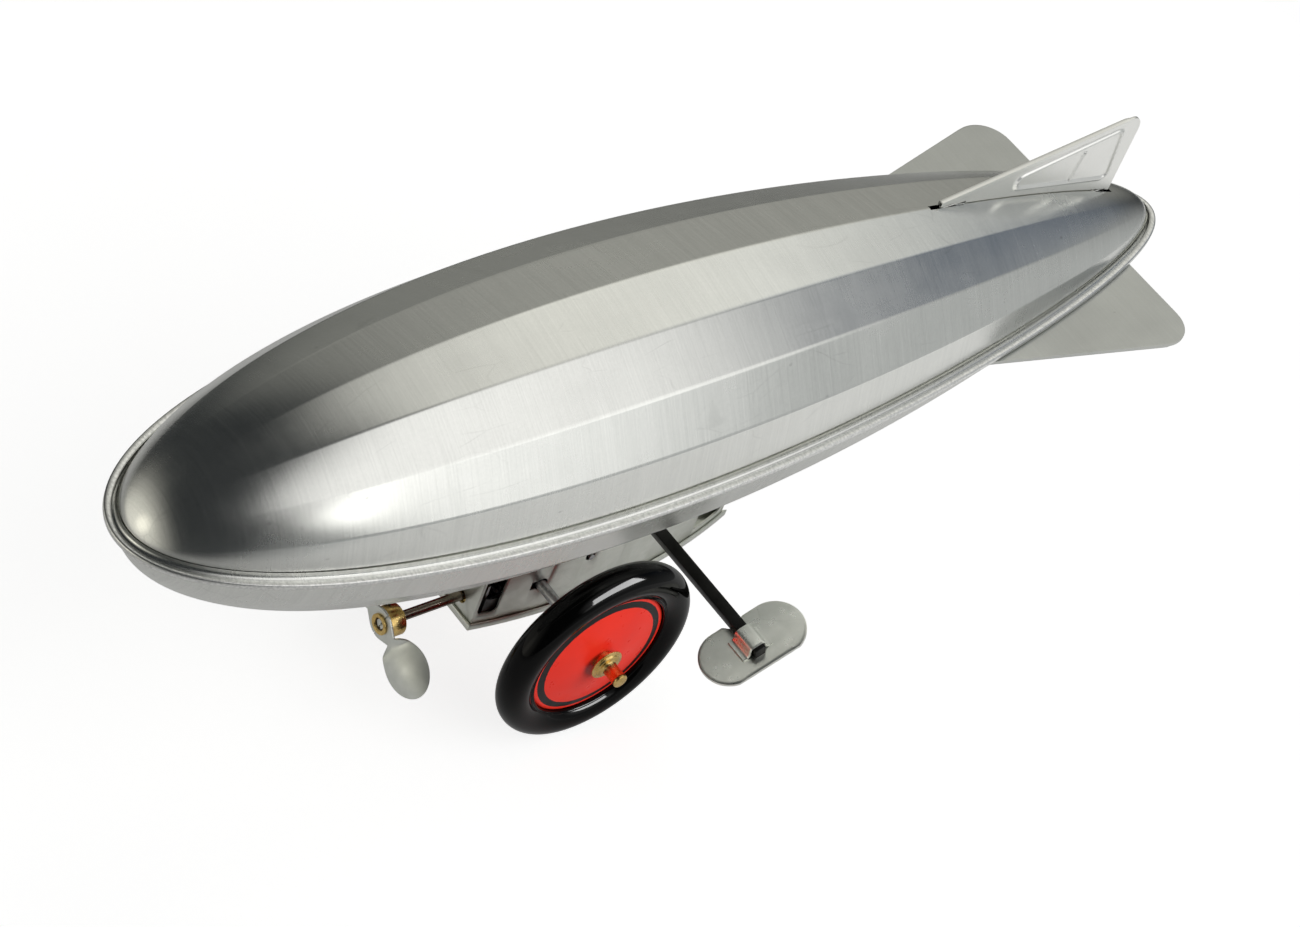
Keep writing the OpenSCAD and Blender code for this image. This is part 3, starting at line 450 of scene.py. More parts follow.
def makeBlack(name, dark, light, roughLow, roughHigh, shine):
    m, t, s, co = newMaterial(name)
    soft = noise(t, co, 90, 4, 0.6)
    fine = noise(t, co, 1500, 2)
    base = mixColor(t, ramp(t, soft, (0.35, 0.0), (0.7, 1.0)), dark, light)
    rough = ramp(t, weighted(t, (soft, 0.7), (fine, 0.3)), (0.35, roughLow), (0.7, roughHigh))
    coat(t, s, base, rough, 0.0)
    s.inputs["Specular IOR Level"].default_value = shine
    bump(t, s, fine, 0.06, 0.00003)
    return m


discPaint = dict(red=(0.90, 0.034, 0.016), deep=(0.80, 0.024, 0.012), black=(0.006, 0.006, 0.006), ringIn=17.7,
                 ringOut=19.8, wobble=0.2, axleX=31.3, axleZ=12.4, roughLow=0.26, roughHigh=0.38, shine=0.2)


def makeDiscPaint():
    # red enamel with one black line ring, painted by distance from the axle
    m, t, s, co = newMaterial("discEnamel")
    x, _, z = addNode(t, "SeparateXYZ", {0: co}).outputs
    dx = math2(t, "SUBTRACT", x, discPaint["axleX"] * mm)
    dz = math2(t, "SUBTRACT", z, discPaint["axleZ"] * mm)
    r = math2(t, "SQRT", math2(t, "ADD", math2(t, "MULTIPLY", dx, dx), math2(t, "MULTIPLY", dz, dz)))
    wobble = math2(t, "MULTIPLY", math2(t, "SUBTRACT", noise(t, co, 700, 1), 0.5), discPaint["wobble"] * mm)
    r = math2(t, "ADD", r, wobble)
    ring = math2(t, "MULTIPLY", math2(t, "GREATER_THAN", r, discPaint["ringIn"] * mm),
                 math2(t, "LESS_THAN", r, discPaint["ringOut"] * mm))
    tone = ramp(t, noise(t, co, 60, 4, 0.6), (0.3, 0.0), (0.7, 1.0))
    base = mixColor(t, ring, mixColor(t, tone, discPaint["deep"], discPaint["red"]), discPaint["black"])
    rough = ramp(t, noise(t, co, 240, 3, 0.6), (0.3, discPaint["roughLow"]), (0.7, discPaint["roughHigh"]))
    coat(t, s, base, rough, 0.0)
    s.inputs["Specular IOR Level"].default_value = discPaint["shine"]
    bump(t, s, noise(t, co, 260, 2), 0.03, 0.00005)
    return m


hullMetal = makeHullMetal("hullMetal", hullFinish)
sideFinShadedMetal = makeHullMetal("sideFinShadedMetal", sideFinShadedFinish)
topFinLitMetal = makeHullMetal("topFinLitMetal", topFinLitFinish)
rimWearAndSheenMetal = makeRimMetal()
tin, keyTin, screwTin, plainSteel, springSteel, shaftSteel, platePaintedShade, socketPaintedShade = (
    makeTin(name, *finish) for name, finish in tinFinishes.items())
brass = makeBrass()
rodBlack, tyreBlack = (makeBlack(name, *finish) for name, finish in blackFinishes.items())
discEnamel = makeDiscPaint()
print("stage: materials made")

# hull

hull = dict(halfLength=175.0, width=84.4, crown=0.92, axisZ=81.4, upperSheet=0.5, lowerSheet=0.45,
            # narrowing to the tail, the gores' turn, their fade at the ends and how sharp their ridges are
            taper=0.27, taperMore=0.145, gore=22.5, fadeNose=0.24, fadeTail=0.32, crowd=1.4,
            around=192, stations=120, poleGap=1e-3, seamGap=1e-5,
            # low and high corners of the upright fin's two slots
            slots=(((-86.0, -0.75, 95), (-75.8, 0.75, 125)), ((-155.4, -0.9, 83), (-146.0, 0.9, 125))))


def fullness(s):
    return 1 - hull["taper"] * s - hull["taperMore"] * s * s


def fullnessSlope(s):
    return -hull["taper"] - 2 * hull["taperMore"] * s


hullPeak = max(math.sin(math.radians(i)) * fullness((1 - math.cos(math.radians(i))) / 2)
               for i in range(0, 181, 2))
hullScale = hull["width"] / 2 / hullPeak


def atPole(phi, gap):
    return phi < gap or phi > math.pi - gap


def hullSide(phi, off):
    # the hull's side line at station angle phi, moved out by off, in millimetres
    s = (1 - math.cos(phi)) / 2
    a = hullScale * (math.cos(phi) * fullness(s) + math.sin(phi) ** 2 / 2 * fullnessSlope(s))
    b = hull["halfLength"] * math.sin(phi)
    n = math.hypot(a, b)
    r = hullScale * math.sin(phi) * fullness(s)
    return hull["halfLength"] * math.cos(phi) + off * a / n, 0.0 if atPole(phi, 1e-4) else r + off * b / n


def ease(t):
    t = min(max(t, 0.0), 1.0)
    return t * t * (3 - 2 * t)


def goreFactor(theta, s):
    # the gores' flats fade into the round towards nose and tail
    c = ease(s / hull["fadeNose"]) * ease((1 - s) / hull["fadeTail"])
    half = hull["gore"] / 2
    t = math.degrees(theta) % hull["gore"] - half
    return 1 - c + c * math.cos(math.radians(half)) / math.cos(math.radians(t))


def crowded(theta):
    # the rings' points drawn towards the ridges, so that each ridge turns over a narrow strip
    half = math.radians(hull["gore"] / 2)
    middle = (math.floor(theta / half / 2) + 0.5) * half * 2
    t = (theta - middle) / half
    return middle + half * math.copysign(1 - (1 - min(abs(t), 1)) ** hull["crowd"], t)


def hullPoint(phi, theta):
    x, r = hullSide(phi, 0)
    r *= goreFactor(theta, (1 - math.cos(phi)) / 2)
    k = hull["crown"] if math.cos(theta) > 0 else 1.0
    return x * mm, r * math.sin(theta) * mm, (r * math.cos(theta) * k + hull["axisZ"]) * mm


def addHullHalf(name, top, profile):
    # a ball with its poles at nose and tail, cut on the seam, drawn out to the gored shape,
    # and its edge run on through the seam's section
    deselectAll()
    bpy.ops.mesh.primitive_uv_sphere_add(segments=hull["around"], ring_count=hull["stations"], radius=1.0,
                                         location=(0, 0, 0))
    obj = named(name)
    me = obj.data
    me.transform(Matrix.Rotation(math.radians(90), 4, "Y"))
    only(obj)
    bpy.ops.object.mode_set(mode="EDIT")
    bpy.ops.mesh.select_all(action="SELECT")
    bpy.ops.mesh.bisect(plane_co=(0, 0, 0), plane_no=(0, 0, 1), clear_inner=top, clear_outer=not top,
                        threshold=hull["seamGap"])
    bpy.ops.mesh.select_all(action="DESELECT")

    def toSeam(v, off, z):
        x, r = hullSide(v[phiLayer], off)
        v.co = x * mm, r * v[sideLayer] * mm, (hull["axisZ"] + z) * mm

    bm = bmesh.from_edit_mesh(me)
    phiLayer = bm.verts.layers.float.new("phi")
    sideLayer = bm.verts.layers.float.new("side")
    for v in bm.verts:
        phi = math.acos(min(max(v.co.x, -1), 1))
        onSeam = abs(v.co.z) < hull["seamGap"]
        theta = math.copysign(math.pi / 2, v.co.y) if onSeam else crowded(math.atan2(v.co.y, v.co.z))
        v[phiLayer] = phi
        v[sideLayer] = 0.0 if atPole(phi, hull["poleGap"]) else math.copysign(1, v.co.y)
        v.co = hullPoint(phi, theta)
    for e in bm.edges:
        if e.is_boundary:
            e.select = True
            for v in e.verts:
                toSeam(v, *profile[0])
    bmesh.update_edit_mesh(me)
    for off, z in profile[1:]:
        bpy.ops.mesh.extrude_edges_move(TRANSFORM_OT_translate={"value": (0, 0, 0)})
        bm = bmesh.from_edit_mesh(me)
        phiLayer = bm.verts.layers.float["phi"]
        sideLayer = bm.verts.layers.float["side"]
        for v in bm.verts:
            if v.select:
                toSeam(v, off, z)
        bmesh.update_edit_mesh(me)
    bpy.ops.mesh.select_all(action="SELECT")
    bpy.ops.mesh.normals_make_consistent(inside=False)
    bpy.ops.object.mode_set(mode="OBJECT")
    return obj


seam = dict(
    # out from the side line and height: the upper sheet's foot and flange, the lower sheet's folded channel
    upper=[(0.0, 2.4), (0.06, 1.7), (0.25, 1.15), (0.6, 0.75), (1.1, 0.55), (2.0, 0.5)],
    lower=[(0.0, -2.6), (0.1, -1.8), (0.4, -1.1), (0.9, -0.75), (1.6, -0.6), (2.5, -0.6), (2.85, -0.45),
           (3.0, -0.1), (3.0, 0.75), (2.85, 1.08), (2.55, 1.2), (1.3, 1.16), (1.15, 1.08), (1.1, 0.9)],
    rimFrom=-0.5,
)

upperHull = addHullHalf("upperHull", True, seam["upper"])
sheeted(upperHull, hull["upperSheet"], -1)
for low, high in hull["slots"]:
    cut(upperHull, addBox(low, high))
smooth(upperHull, 60)
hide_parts("upper_hull")
place(upperHull, "frame", hullMetal)

lowerHull = addHullHalf("lowerHull", False, seam["lower"])
sheeted(lowerHull, hull["lowerSheet"], -1)
smooth(lowerHull, 60)
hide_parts("lower_hull")
place(lowerHull, "frame", hullMetal)
lowerHull.data.materials.append(rimWearAndSheenMetal)
for face in lowerHull.data.polygons:
    if face.center.z > (hull["axisZ"] + seam["rimFrom"]) * mm:
        face.material_index = 1
print("stage: hull made")

# fins


def addSheet(name, across, along, thickness, shape):
    # a grid whose two directions run 0..1, laid out by the given function into millimetres,
    # and given its sheet thickness to both sides
    deselectAll()
    bpy.ops.mesh.primitive_grid_add(x_subdivisions=across, y_subdivisions=along, size=2, location=(0, 0, 0))
    obj = named(name)
    for v in obj.data.vertices:
        v.co = Vector(shape((v.co.x + 1) / 2, (v.co.y + 1) / 2)) * mm
    return sheeted(outward(obj), thickness, 0)


def finished(obj, width, angle=40, segments=2):
    # a shaped sheet's last steps
    outward(obj)
    bevel(obj, width, segments=segments)
    return smooth(obj, angle)


def pieceDistance(p, a, b):
    # distance from a point to a straight piece, in the plane of the sheet
    ab = (b[0] - a[0], b[1] - a[1])
    t = ((p[0] - a[0]) * ab[0] + (p[1] - a[1]) * ab[1]) / (ab[0] ** 2 + ab[1] ** 2)
    t = min(max(t, 0), 1)
    return math.hypot(p[0] - a[0] - t * ab[0], p[1] - a[1] - t * ab[1])


def sideRadius(x):
    return hullSide(math.acos(x / hull["halfLength"]), 0)[1]


fin = dict(sheet=0.8, hem=1.7, hemSoft=0.5, hemRise=0.28, ease=0.14)
# along the toy from front to back; the panel's and the rib's points are given by x and their fall from the tip
uprightFin = dict(front=-79.6, back=-153.7, topTip=42.4, lowTip=45.0, rootGap=0.25, crowd=1.25, leadRise=1.2,
                  leadEnd=7.5, tipIn=0.3, tipRound=7.2, tipFrom=0.42, tipFall=5.2, hemEnd=7.0, hemFade=3.0,
                  panel=((-98.5, 12.9), (-146.7, 3.4), (-149.4, 22.4)), panelRound=(2.4, 2.0, 2.0),
                  rib=((-134.0, 8.7), (-132.4, 18.6)), ridgeHalf=1.05, ribHalf=0.7875, ridgeRise=0.6)
finTabs = dict(places=((-90.0, -80.2), (-152.0, -146.0)), half=0.4, deep=3.0, out=1.0, ease=0.1)
sideFin = dict(front=-83.0, back=-155.0, reach=47.5, z=80.15, rootGap=0.4, crowd=1.3, leadRise=1.3, leadEnd=13.0,
               tipIn=0.5, tipRound=13.2, tipFrom=0.25, tipTurn=0.3, tipFall=9.5, tipPower=2.2, backOver=0.2,
               hemEnd=12.0, hemFade=4.0, ease=0.26)


def lerp(a, b, t):
    return a + (b - a) * t


def cornerArc(points, radii, steps):
    # the polygon with each of its corners turned into a short arc
    out = []
    points = [Vector(p) for p in points]
    for i, (p, r) in enumerate(zip(points, radii)):
        da = (points[i - 1] - p).normalized()
        db = (points[(i + 1) % len(points)] - p).normalized()
        half = math.acos(max(-1, min(1, da.dot(db)))) / 2
        mid = p + (da + db).normalized() * (r / math.sin(half))
        start, end = (p + d * (r / math.tan(half)) - mid for d in (da, db))
        a0 = math.atan2(start.y, start.x)
        a1 = math.atan2(end.y, end.x)
        turn = (a1 - a0 + math.pi) % (2 * math.pi) - math.pi
        for k in range(steps + 1):
            t = a0 + turn * k / steps
            out.append((mid.x + r * math.cos(t), mid.y + r * math.sin(t)))
    return out


def ropeDistance(p, points):
    # distance to the nearest side of a closed outline
    return min(pieceDistance(p, points[i - 1], points[i]) for i in range(len(points)))


def bumpProfile(d, half):
    t = min(d / half, 1)
    return (math.cos(math.pi * t) + 1) / 2


def hemHeight(x, d, back, shape):
    # the hem's rise at a distance from the leading edge, fading out before the tip
    fade = (back + shape["hemEnd"] - x) / shape["hemFade"]
    return fin["hemRise"] * (1 - ease((d - fin["hem"]) / fin["hemSoft"])) * min(max(1 - fade, 0), 1)


def addUprightFin(name, tip, crown, up):
    # x from the front of the fin to its back, height from the root line to the top line
    f = uprightFin
    front, back = f["front"], f["back"]
    leadFrom = (front, sideRadius(front) * crown + f["rootGap"] + f["leadRise"])
    leadTo = (back + f["leadEnd"], tip - f["tipIn"])

    def topLine(x):
        t = (back + f["tipRound"] - x) / f["tipRound"]
        if t <= 0:
            return lerp(leadFrom[1], leadTo[1], (front - x) / (front - leadTo[0]))
        # the round tip and the trailing edge
        q = max(0, (t - f["tipFrom"]) / (1 - f["tipFrom"]))
        return leadTo[1] + f["tipIn"] * math.sin(t * math.pi / 2) - f["tipFall"] * (1 - math.sqrt(max(0, 1 - q * q)))

    def shape(u, v):
        x = lerp(front, back, 1 - (1 - u) ** f["crowd"])
        return x, 0, lerp(sideRadius(x) * crown + f["rootGap"], topLine(x), v)

    obj = addSheet(name, 170, 90, fin["sheet"], shape)
    panel = cornerArc([(x, tip - fall) for x, fall in f["panel"]], f["panelRound"], 6)
    rib = [(x, tip - fall) for x, fall in f["rib"]]
    for v in obj.data.vertices:
        x, y, z = v.co / mm
        y += math.copysign(hemHeight(x, pieceDistance((x, z), leadFrom, leadTo), back, f), y)
        inside = bumpProfile(ropeDistance((x, z), panel), f["ridgeHalf"])
        cross = bumpProfile(pieceDistance((x, z), *rib), f["ribHalf"])
        y += max(inside, cross) * f["ridgeRise"]
        v.co = Vector((x, y, hull["axisZ"] + z * up)) * mm
    return finished(obj, fin["ease"])


def addFinTabs(name, crown, up):
    pieces = []
    half = finTabs["half"]
    for a, b in finTabs["places"]:
        r = sideRadius(a) * crown
        heights = sorted(hull["axisZ"] + up * (r + out) for out in (-finTabs["deep"], finTabs["out"]))
        pieces.append(addBox((a, -half, heights[0]), (b, half, heights[1]), name))
    deselectAll()
    for p in pieces:
        p.select_set(True)
    bpy.context.view_layer.objects.active = pieces[0]
    bpy.ops.object.join()
    return bevel(named(name), finTabs["ease"], 40, 1)


topFin = addUprightFin("topFin", uprightFin["topTip"], hull["crown"], 1)
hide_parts("top_fin")
# the top fin takes the lighter copy of the hull's metal: painted light
place(topFin, "frame", topFinLitMetal)
place(addFinTabs("topFinTabs", hull["crown"], 1), "frame", hullMetal)
lowFin = addUprightFin("lowFin", uprightFin["lowTip"], 1.0, -1)
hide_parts("bottom_fin")
place(lowFin, "frame", hullMetal)
place(addFinTabs("lowFinTabs", 1.0, -1), "frame", hullMetal)


def addSideFin(name, port):
    # flat under the rim: x along the toy, reach out from the hull's side line
    f = sideFin
    front, back = f["front"], f["back"]
    leadFrom = (front, sideRadius(front) + f["leadRise"])
    leadTo = (back + f["leadEnd"], f["reach"] - f["tipIn"])

    def outLine(x):
        t = (front - x) / (front - leadTo[0])
        if t <= 1:
            return lerp(leadFrom[1], leadTo[1], t)
        # the round outer corner down to the trailing edge
        q = (leadTo[0] - x) / f["tipRound"]
        corner = leadTo[1] + f["tipIn"] * math.sin(min(q / f["tipTurn"], 1) * math.pi / 2)
        fall = max(0, (q - f["tipFrom"]) / (1 - f["tipFrom"])) ** f["tipPower"]
        return corner - f["tipFall"] * (1 - math.sqrt(max(0.0, 1 - fall)))

    def shape(u, v):
        x = lerp(front, back - f["backOver"], 1 - (1 - u) ** f["crowd"])
        low = sideRadius(x) + f["rootGap"]
        return x, lerp(low, max(outLine(x), low + 0.2), v), f["z"]

    obj = addSheet(name, 150, 60, fin["sheet"], shape)
    for v in obj.data.vertices:
        x, y, z = v.co / mm
        if z < f["z"]:
            z -= hemHeight(x, pieceDistance((x, y), leadFrom, leadTo), back, f)
        v.co = Vector((x, y if port else -y, z)) * mm
    return finished(obj, f["ease"], segments=3)


for name, node, port in (("portFin", "port_fin", True), ("starboardFin", "starboard_fin", False)):
    obj = addSideFin(name, port)
    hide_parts(node)
    # the side fins take the darker copy of the hull's metal: painted shade
    place(obj, "frame", sideFinShadedMetal)
print("stage: fins made")

# road wheels

wheel = dict(x=31.3, z=12.4, trackHalf=33.5, tyreRadius=30.75, tyreHalf=4.8, steps=176, bushSteps=96)


def addTurned(name, profile, axis, middle, steps):
    # a section of (radius, place along the axis) spun a whole turn round the axis
    deselectAll()
    bpy.ops.mesh.primitive_circle_add(vertices=len(profile), radius=1, fill_type="NOTHING", location=(0, 0, 0))
    obj = named(name)
    x, y, z = middle
    along = (1, 0, 0) if axis == "X" else (0, 1, 0)
    for v, (r, a) in zip(obj.data.vertices, profile):
        v.co = Vector((x + a * along[0], y + a * along[1], z + r)) * mm
    only(obj)
    bpy.ops.object.mode_set(mode="EDIT")
    bpy.ops.mesh.select_all(action="SELECT")
    bpy.ops.mesh.spin(steps=steps, dupli=False, angle=2 * math.pi, center=[c * mm for c in middle], axis=along)
    return outward(obj, mergeGap["spun"])


def mirrored(obj, name):
    # the same piece with its own mesh on the other side of the toy
    twin = bpy.data.objects.new(name, obj.data.copy())
    twin.data.name = name
    bpy.context.scene.collection.objects.link(twin)
    for v in twin.data.vertices:
        v.co.y = -v.co.y
    twin.data.flip_normals()
    return twin


def bothSides(obj, twinName, nodeNames, body, material):
    twin = mirrored(obj, twinName)
    for o, n in zip((obj, twin), nodeNames):
        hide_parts(n)
        place(o, body, material)


def tyreSection():
    # round outside, a shoulder and a small lip where it grips the disc's rim
    ringRadius = wheel["tyreRadius"] - wheel["tyreHalf"]
    out = []
    for i in range(61):
        a = math.radians(-140 + 280 * i / 60)
        out.append((ringRadius + wheel["tyreHalf"] * math.cos(a), wheel["tyreHalf"] * math.sin(a)))
    lip = [(22.15, 3.15), (21.95, 3.02), (21.75, 3.1), (21.45, 3.2), (21.28, 3.0), (21.26, 2.4)]
    lip += [(r, -a) for r, a in reversed(lip)]
    return [(r, a + wheel["trackHalf"]) for r, a in out + lip]


centre = (wheel["x"], 0, wheel["z"])
tyre = smooth(addTurned("portTyre", tyreSection(), "Y", centre, wheel["steps"]), 50)
bothSides(tyre, "starboardTyre", ("port_tyre", "starboard_tyre"), "road_wheels", tyreBlack)


def discSection():
    # pressed sheet: flat middle, a shallow fall to the rim and a turned-in edge
    face = [(3.0, 3.95), (5.0, 3.98), (6.5, 3.9), (8.0, 3.84), (10, 3.64), (13, 3.3), (16, 2.86), (18.2, 2.5),
            (19.4, 2.3), (20.2, 2.22), (20.8, 2.12), (21.1, 1.9), (21.22, 1.55), (21.22, -2.3)]
    back = [(20.5, -2.3), (20.5, 1.2), (20.2, 1.42), (18.2, 1.7), (16, 2.06), (13, 2.5), (8, 3.05), (3.0, 3.2)]
    return [(r, a + wheel["trackHalf"]) for r, a in face + back]


disc = smooth(addTurned("portDisc", discSection(), "Y", centre, wheel["steps"]), 40)
bothSides(disc, "starboardDisc", ("port_disc", "starboard_disc"), "road_wheels", discEnamel)


def bushSection():
    # sleeve, flange against the disc with its waist and tube, and closed tip, each from its own start
    sleeve = [(1.6, 0), (2.85, 0), (3.0, 0.15)]
    flange = [(3.0, 0), (4.5, 0), (4.72, 0.04), (4.86, 0.16), (4.9, 0.32), (4.84, 0.48), (4.6, 0.6), (4.2, 0.63),
              (3.95, 0.7), (3.82, 0.86), (3.72, 1.06), (3.5, 1.2), (3.1, 1.27), (2.7, 1.3), (2.4, 1.42), (2.2, 1.62),
              (2.1, 1.95), (2.1, 5.4), (2.16, 5.5)]
    tip = [(2.16, -0.42), (2.1, -0.2), (1.95, -0.06), (1.7, 0), (0.02, 0), (0.02, -0.8), (1.6, -0.8)]
    starts = ((-3.4, sleeve), (5.8, flange), (12.8, tip))
    return [(r, wheel["trackHalf"] + start + a) for start, points in starts for r, a in points]


bush = smooth(addTurned("portBush", bushSection(), "Y", centre, wheel["bushSteps"]), 40)
bothSides(bush, "starboardBush", ("port_bush", "starboard_bush"), "road_wheels", brass)
print("stage: wheels made")

# propeller

screw = dict(z=6.8, front=78.3, turn=-15.5, pitch=28, tip=22.6, sheet=0.7, wide=12.9, root=5.0, rootIn=0.35, neck=1.35,
             neckIn=1.2, fullness=0.52, plate=4.9, ear=6.4, earRadius=1.2, seat=1.3, twistFrom=5.4, twistOver=3.0,
             dish=1.6, dishFrom=7.0, dishOver=4.0, dishMiddle=14.5, dishReach=8.5, dishWide=6.4,
             ease=0.16, socket=1.6, socketDeep=2.6, socketShadeRadius=1.68, bossSteps=96)


def screwHalfWidth(r):
    # half width of the one-piece screw at a distance from its middle: blades, a round hub plate and two ears
    r = abs(r)
    middle = (screw["tip"] + screw["root"]) / 2 + screw["rootIn"]
    half = (screw["tip"] - screw["root"]) / 2 - screw["rootIn"]
    t = (r - middle) / half
    blade = screw["wide"] / 2 * (1 - t * t) ** screw["fullness"] if abs(t) < 1 else 0.0
    blade += screw["neck"] * max(0.0, 1 - (r - screw["root"] + screw["neckIn"]) / half) ** 3
    plate, ear, small = screw["plate"], screw["ear"], screw["earRadius"]
    b = math.acos((plate - small) / ear)
    if r < plate * math.cos(b):
        hub = math.sqrt(plate ** 2 - r * r)
    elif r < ear + small * math.cos(b):
        hub = plate * math.sin(b) - (r - plate * math.cos(b)) / math.tan(b)
    else:
        hub = math.sqrt(max(0.0, small ** 2 - (r - ear) ** 2)) if r < ear + small else 0.0
    return max(blade, hub, 0.02)


def addScrew():
    def shape(u, v):
        # stations crowd together at the two tips and the two necks
        r = screw["tip"] * math.sin((2 * u - 1) * math.pi / 2)
        w = screwHalfWidth(r) * (2 * v - 1)
        a = abs(r)
        s = math.copysign(1, r)
        # across the blade the sheet turns out of the hub's plane, and is dished like a spoon
        twist = -ease((a - screw["twistFrom"]) / screw["twistOver"]) * math.radians(screw["pitch"])
        reach = (a - screw["dishMiddle"]) / screw["dishReach"]
        bowl = (w / screw["dishWide"]) ** 2 + 0.8 * reach * reach - 0.55
        dish = ease((a - screw["dishFrom"]) / screw["dishOver"]) * screw["dish"] * bowl
        return w * math.sin(twist) - dish * math.cos(twist), r, (w * math.cos(twist) + dish * math.sin(twist)) * s

    obj = addSheet("screwSheet", 220, 26, screw["sheet"] * 0.9, shape)
    turn = Matrix.Rotation(math.radians(screw["turn"]), 4, "X")
    middle = Vector((screw["front"] - screw["seat"] + screw["sheet"] / 2, 0, screw["z"])) * mm
    for v in obj.data.vertices:
        v.co = turn @ v.co + middle
    return finished(obj, screw["ease"], 45)


propeller = addScrew()
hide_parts("propeller")
place(propeller, "screw", screwTin)


def bossSection():
    # collar behind the screw, its seat, and the rolled lip in front, back from the front face
    points = [(1.4, 6.2), (4.2, 6.2), (4.4, 6.12), (4.5, 5.9), (4.5, 1.62), (4.42, 1.4), (4.25, 1.32), (2.4, 1.3),
              (2.4, 0.6), (2.95, 0.6), (3.05, 0.5), (3.05, 0.14), (2.98, 0.03), (2.85, 0), (2.25, 0), (2.0, 0.05),
              (1.82, 0.3), (1.4, 0.5)]
    return [(r, screw["front"] - a) for r, a in points]


boss = addTurned("screwBoss", bossSection(), "X", (0, 0, screw["z"]), screw["bossSteps"])
deselectAll()
bpy.ops.mesh.primitive_cylinder_add(vertices=6, radius=screw["socket"] * mm, depth=2 * screw["socketDeep"] * mm,
                                    location=(screw["front"] * mm, 0, screw["z"] * mm),
                                    rotation=(0, math.radians(90), 0))
cut(boss, settle(named("cutter")))
smooth(boss, 40)
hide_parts("prop_boss")
place(boss, "screw", brass)
# the faces inside the socket take the dark finish: painted shade in the recess
boss.data.materials.append(socketPaintedShade)
for face in boss.data.polygons:
    c = face.center / mm
    if c.x > screw["front"] - 5 and math.hypot(c.y, c.z - screw["z"]) < screw["socketShadeRadius"]:
        face.material_index = 1
print("stage: propeller made")

# winding key

key = dict(x=-4.2, z=22.4, turn=21.5, rod=3.4, middle=54.4, wide=32.4, deep=17.0, offset=-0.75, sheet=0.9, outerCut=0.3,
           notch=1.5, notchHalf=1.6, notchEase=1.9, roll=0.14, rollWide=0.9, ease=0.14, strapLong=7.2,
           strapHalf=4.9, strapSheet=0.55, strapEase=0.12, strapPoints=81)


def keyPlace(x, y, z):
    # from the key's own turned frame into the toy's
    turn = Matrix.Rotation(math.radians(key["turn"]), 4, "Y")
    return Vector((key["x"], key["middle"], key["z"])) + turn @ Vector((x, y, z))


def addKeyPlate():
    # a plate with round ends, lying under the rod
    half, deep = key["wide"] / 2, key["deep"] / 2
    straight, outer = half - deep, deep - key["outerCut"]
    under = -key["rod"] / 2 - key["sheet"] / 2

    def shape(u, v):
        x = math.sin((2 * u - 1) * math.pi / 2) * half
        d = deep * math.sqrt(max(0.0, 1 - (max(abs(x) - straight, 0) / deep) ** 2))
        # shallow notch where the rod comes in
        n = abs(x + key["offset"])
        notch = key["notch"] * (1 - ease((n - key["notchHalf"]) / key["notchEase"]))
        return x, lerp(notch - d, min(d, outer), v), 0

    obj = addSheet("keyPlate", 180, 60, key["sheet"], shape)
    for v in obj.data.vertices:
        x, y, z = v.co / mm
        # the blanked edge is rolled over a little on the upper side
        if abs(x) < straight:
            edge = min(half - abs(x), outer - y, y + deep)
        else:
            edge = deep - math.hypot(abs(x) - straight, y)
        z -= key["roll"] * max(0.0, 1 - max(edge, 0) / key["rollWide"]) ** 2
        v.co = keyPlace(x + key["offset"], y, z + under) * mm
    return finished(obj, key["ease"])


def strapLine():
    # the strip's middle line over the rod: foot, rise, crown, fall, foot
    r = key["rod"] / 2
    foot = 0.28 - r
    left = [(-key["strapHalf"], foot), (-key["strapHalf"] + 1.0, foot + 0.02), (-3.25, foot + 0.25),
            (-2.72, foot + 0.85), (-2.5, foot + 1.7), (-2.44, r - 0.55), (-2.2, r + 0.1), (-1.62, r + 0.46),
            (-0.8, r + 0.56)]
    return left + [(0.0, r + 0.58)] + [(-x, z) for x, z in reversed(left)]


def smoothLine(points, count):
    # evenly spaced points on a soft curve through the given ones
    pts = [Vector(p) for p in points]
    fine = []
    for i in range(len(pts) - 1):
        p0, p1, p2, p3 = pts[max(i - 1, 0)], pts[i], pts[i + 1], pts[min(i + 2, len(pts) - 1)]
        for k in range(16):
            t = k / 16
            bend, twist = 2 * p0 - 5 * p1 + 4 * p2 - p3, 3 * p1 - p0 - 3 * p2 + p3
            fine.append(0.5 * (2 * p1 + (p2 - p0) * t + bend * t * t + twist * t ** 3))
    fine.append(pts[-1])
    run = [0.0]
    for a, b in zip(fine, fine[1:]):
        run.append(run[-1] + (b - a).length)
    out, j = [], 0
    for i in range(count):
        want = run[-1] * i / (count - 1)
        while j < len(run) - 2 and run[j + 1] < want:
            j += 1
        f = (want - run[j]) / max(run[j + 1] - run[j], 1e-9)
        out.append(fine[j].lerp(fine[j + 1], f))
    return out


def addStrap():
    last = key["strapPoints"] - 1
    line = smoothLine(strapLine(), last + 1)

    def shape(u, v):
        p = line[round(u * last)]
        return p.x, (v - 0.5) * key["strapLong"], p.y

    obj = addSheet("keyStrap", last, 14, key["strapSheet"], shape)
    for v in obj.data.vertices:
        v.co = keyPlace(*(v.co / mm)) * mm
    return finished(obj, key["strapEase"])


keyPlate = addKeyPlate()
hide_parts("key_handle")
place(keyPlate, "winder", keyTin)
place(addStrap(), "winder", keyTin)
print("stage: key made")

# CAD nodes with eased edges and finishes

dressedPieces = {
    # body, slot, material, width of the eased edge, whether near-flat faces are joined first
    "gondola_body": ("frame", "tinplate", tin, 0.08, False),
    "gondola_tray": ("frame", "tinplate", tin, 0.12, False),
    "winding_arbor": ("winder", "blackened_steel", rodBlack, 0.18, True),
    "wheel_axle": ("road_wheels", "steel", plainSteel, 0.2, True),
}
for nodeName, (body, slot, material, width, flatten) in dressedPieces.items():
    place(dressed(nodeName, width, flatten), body, material)

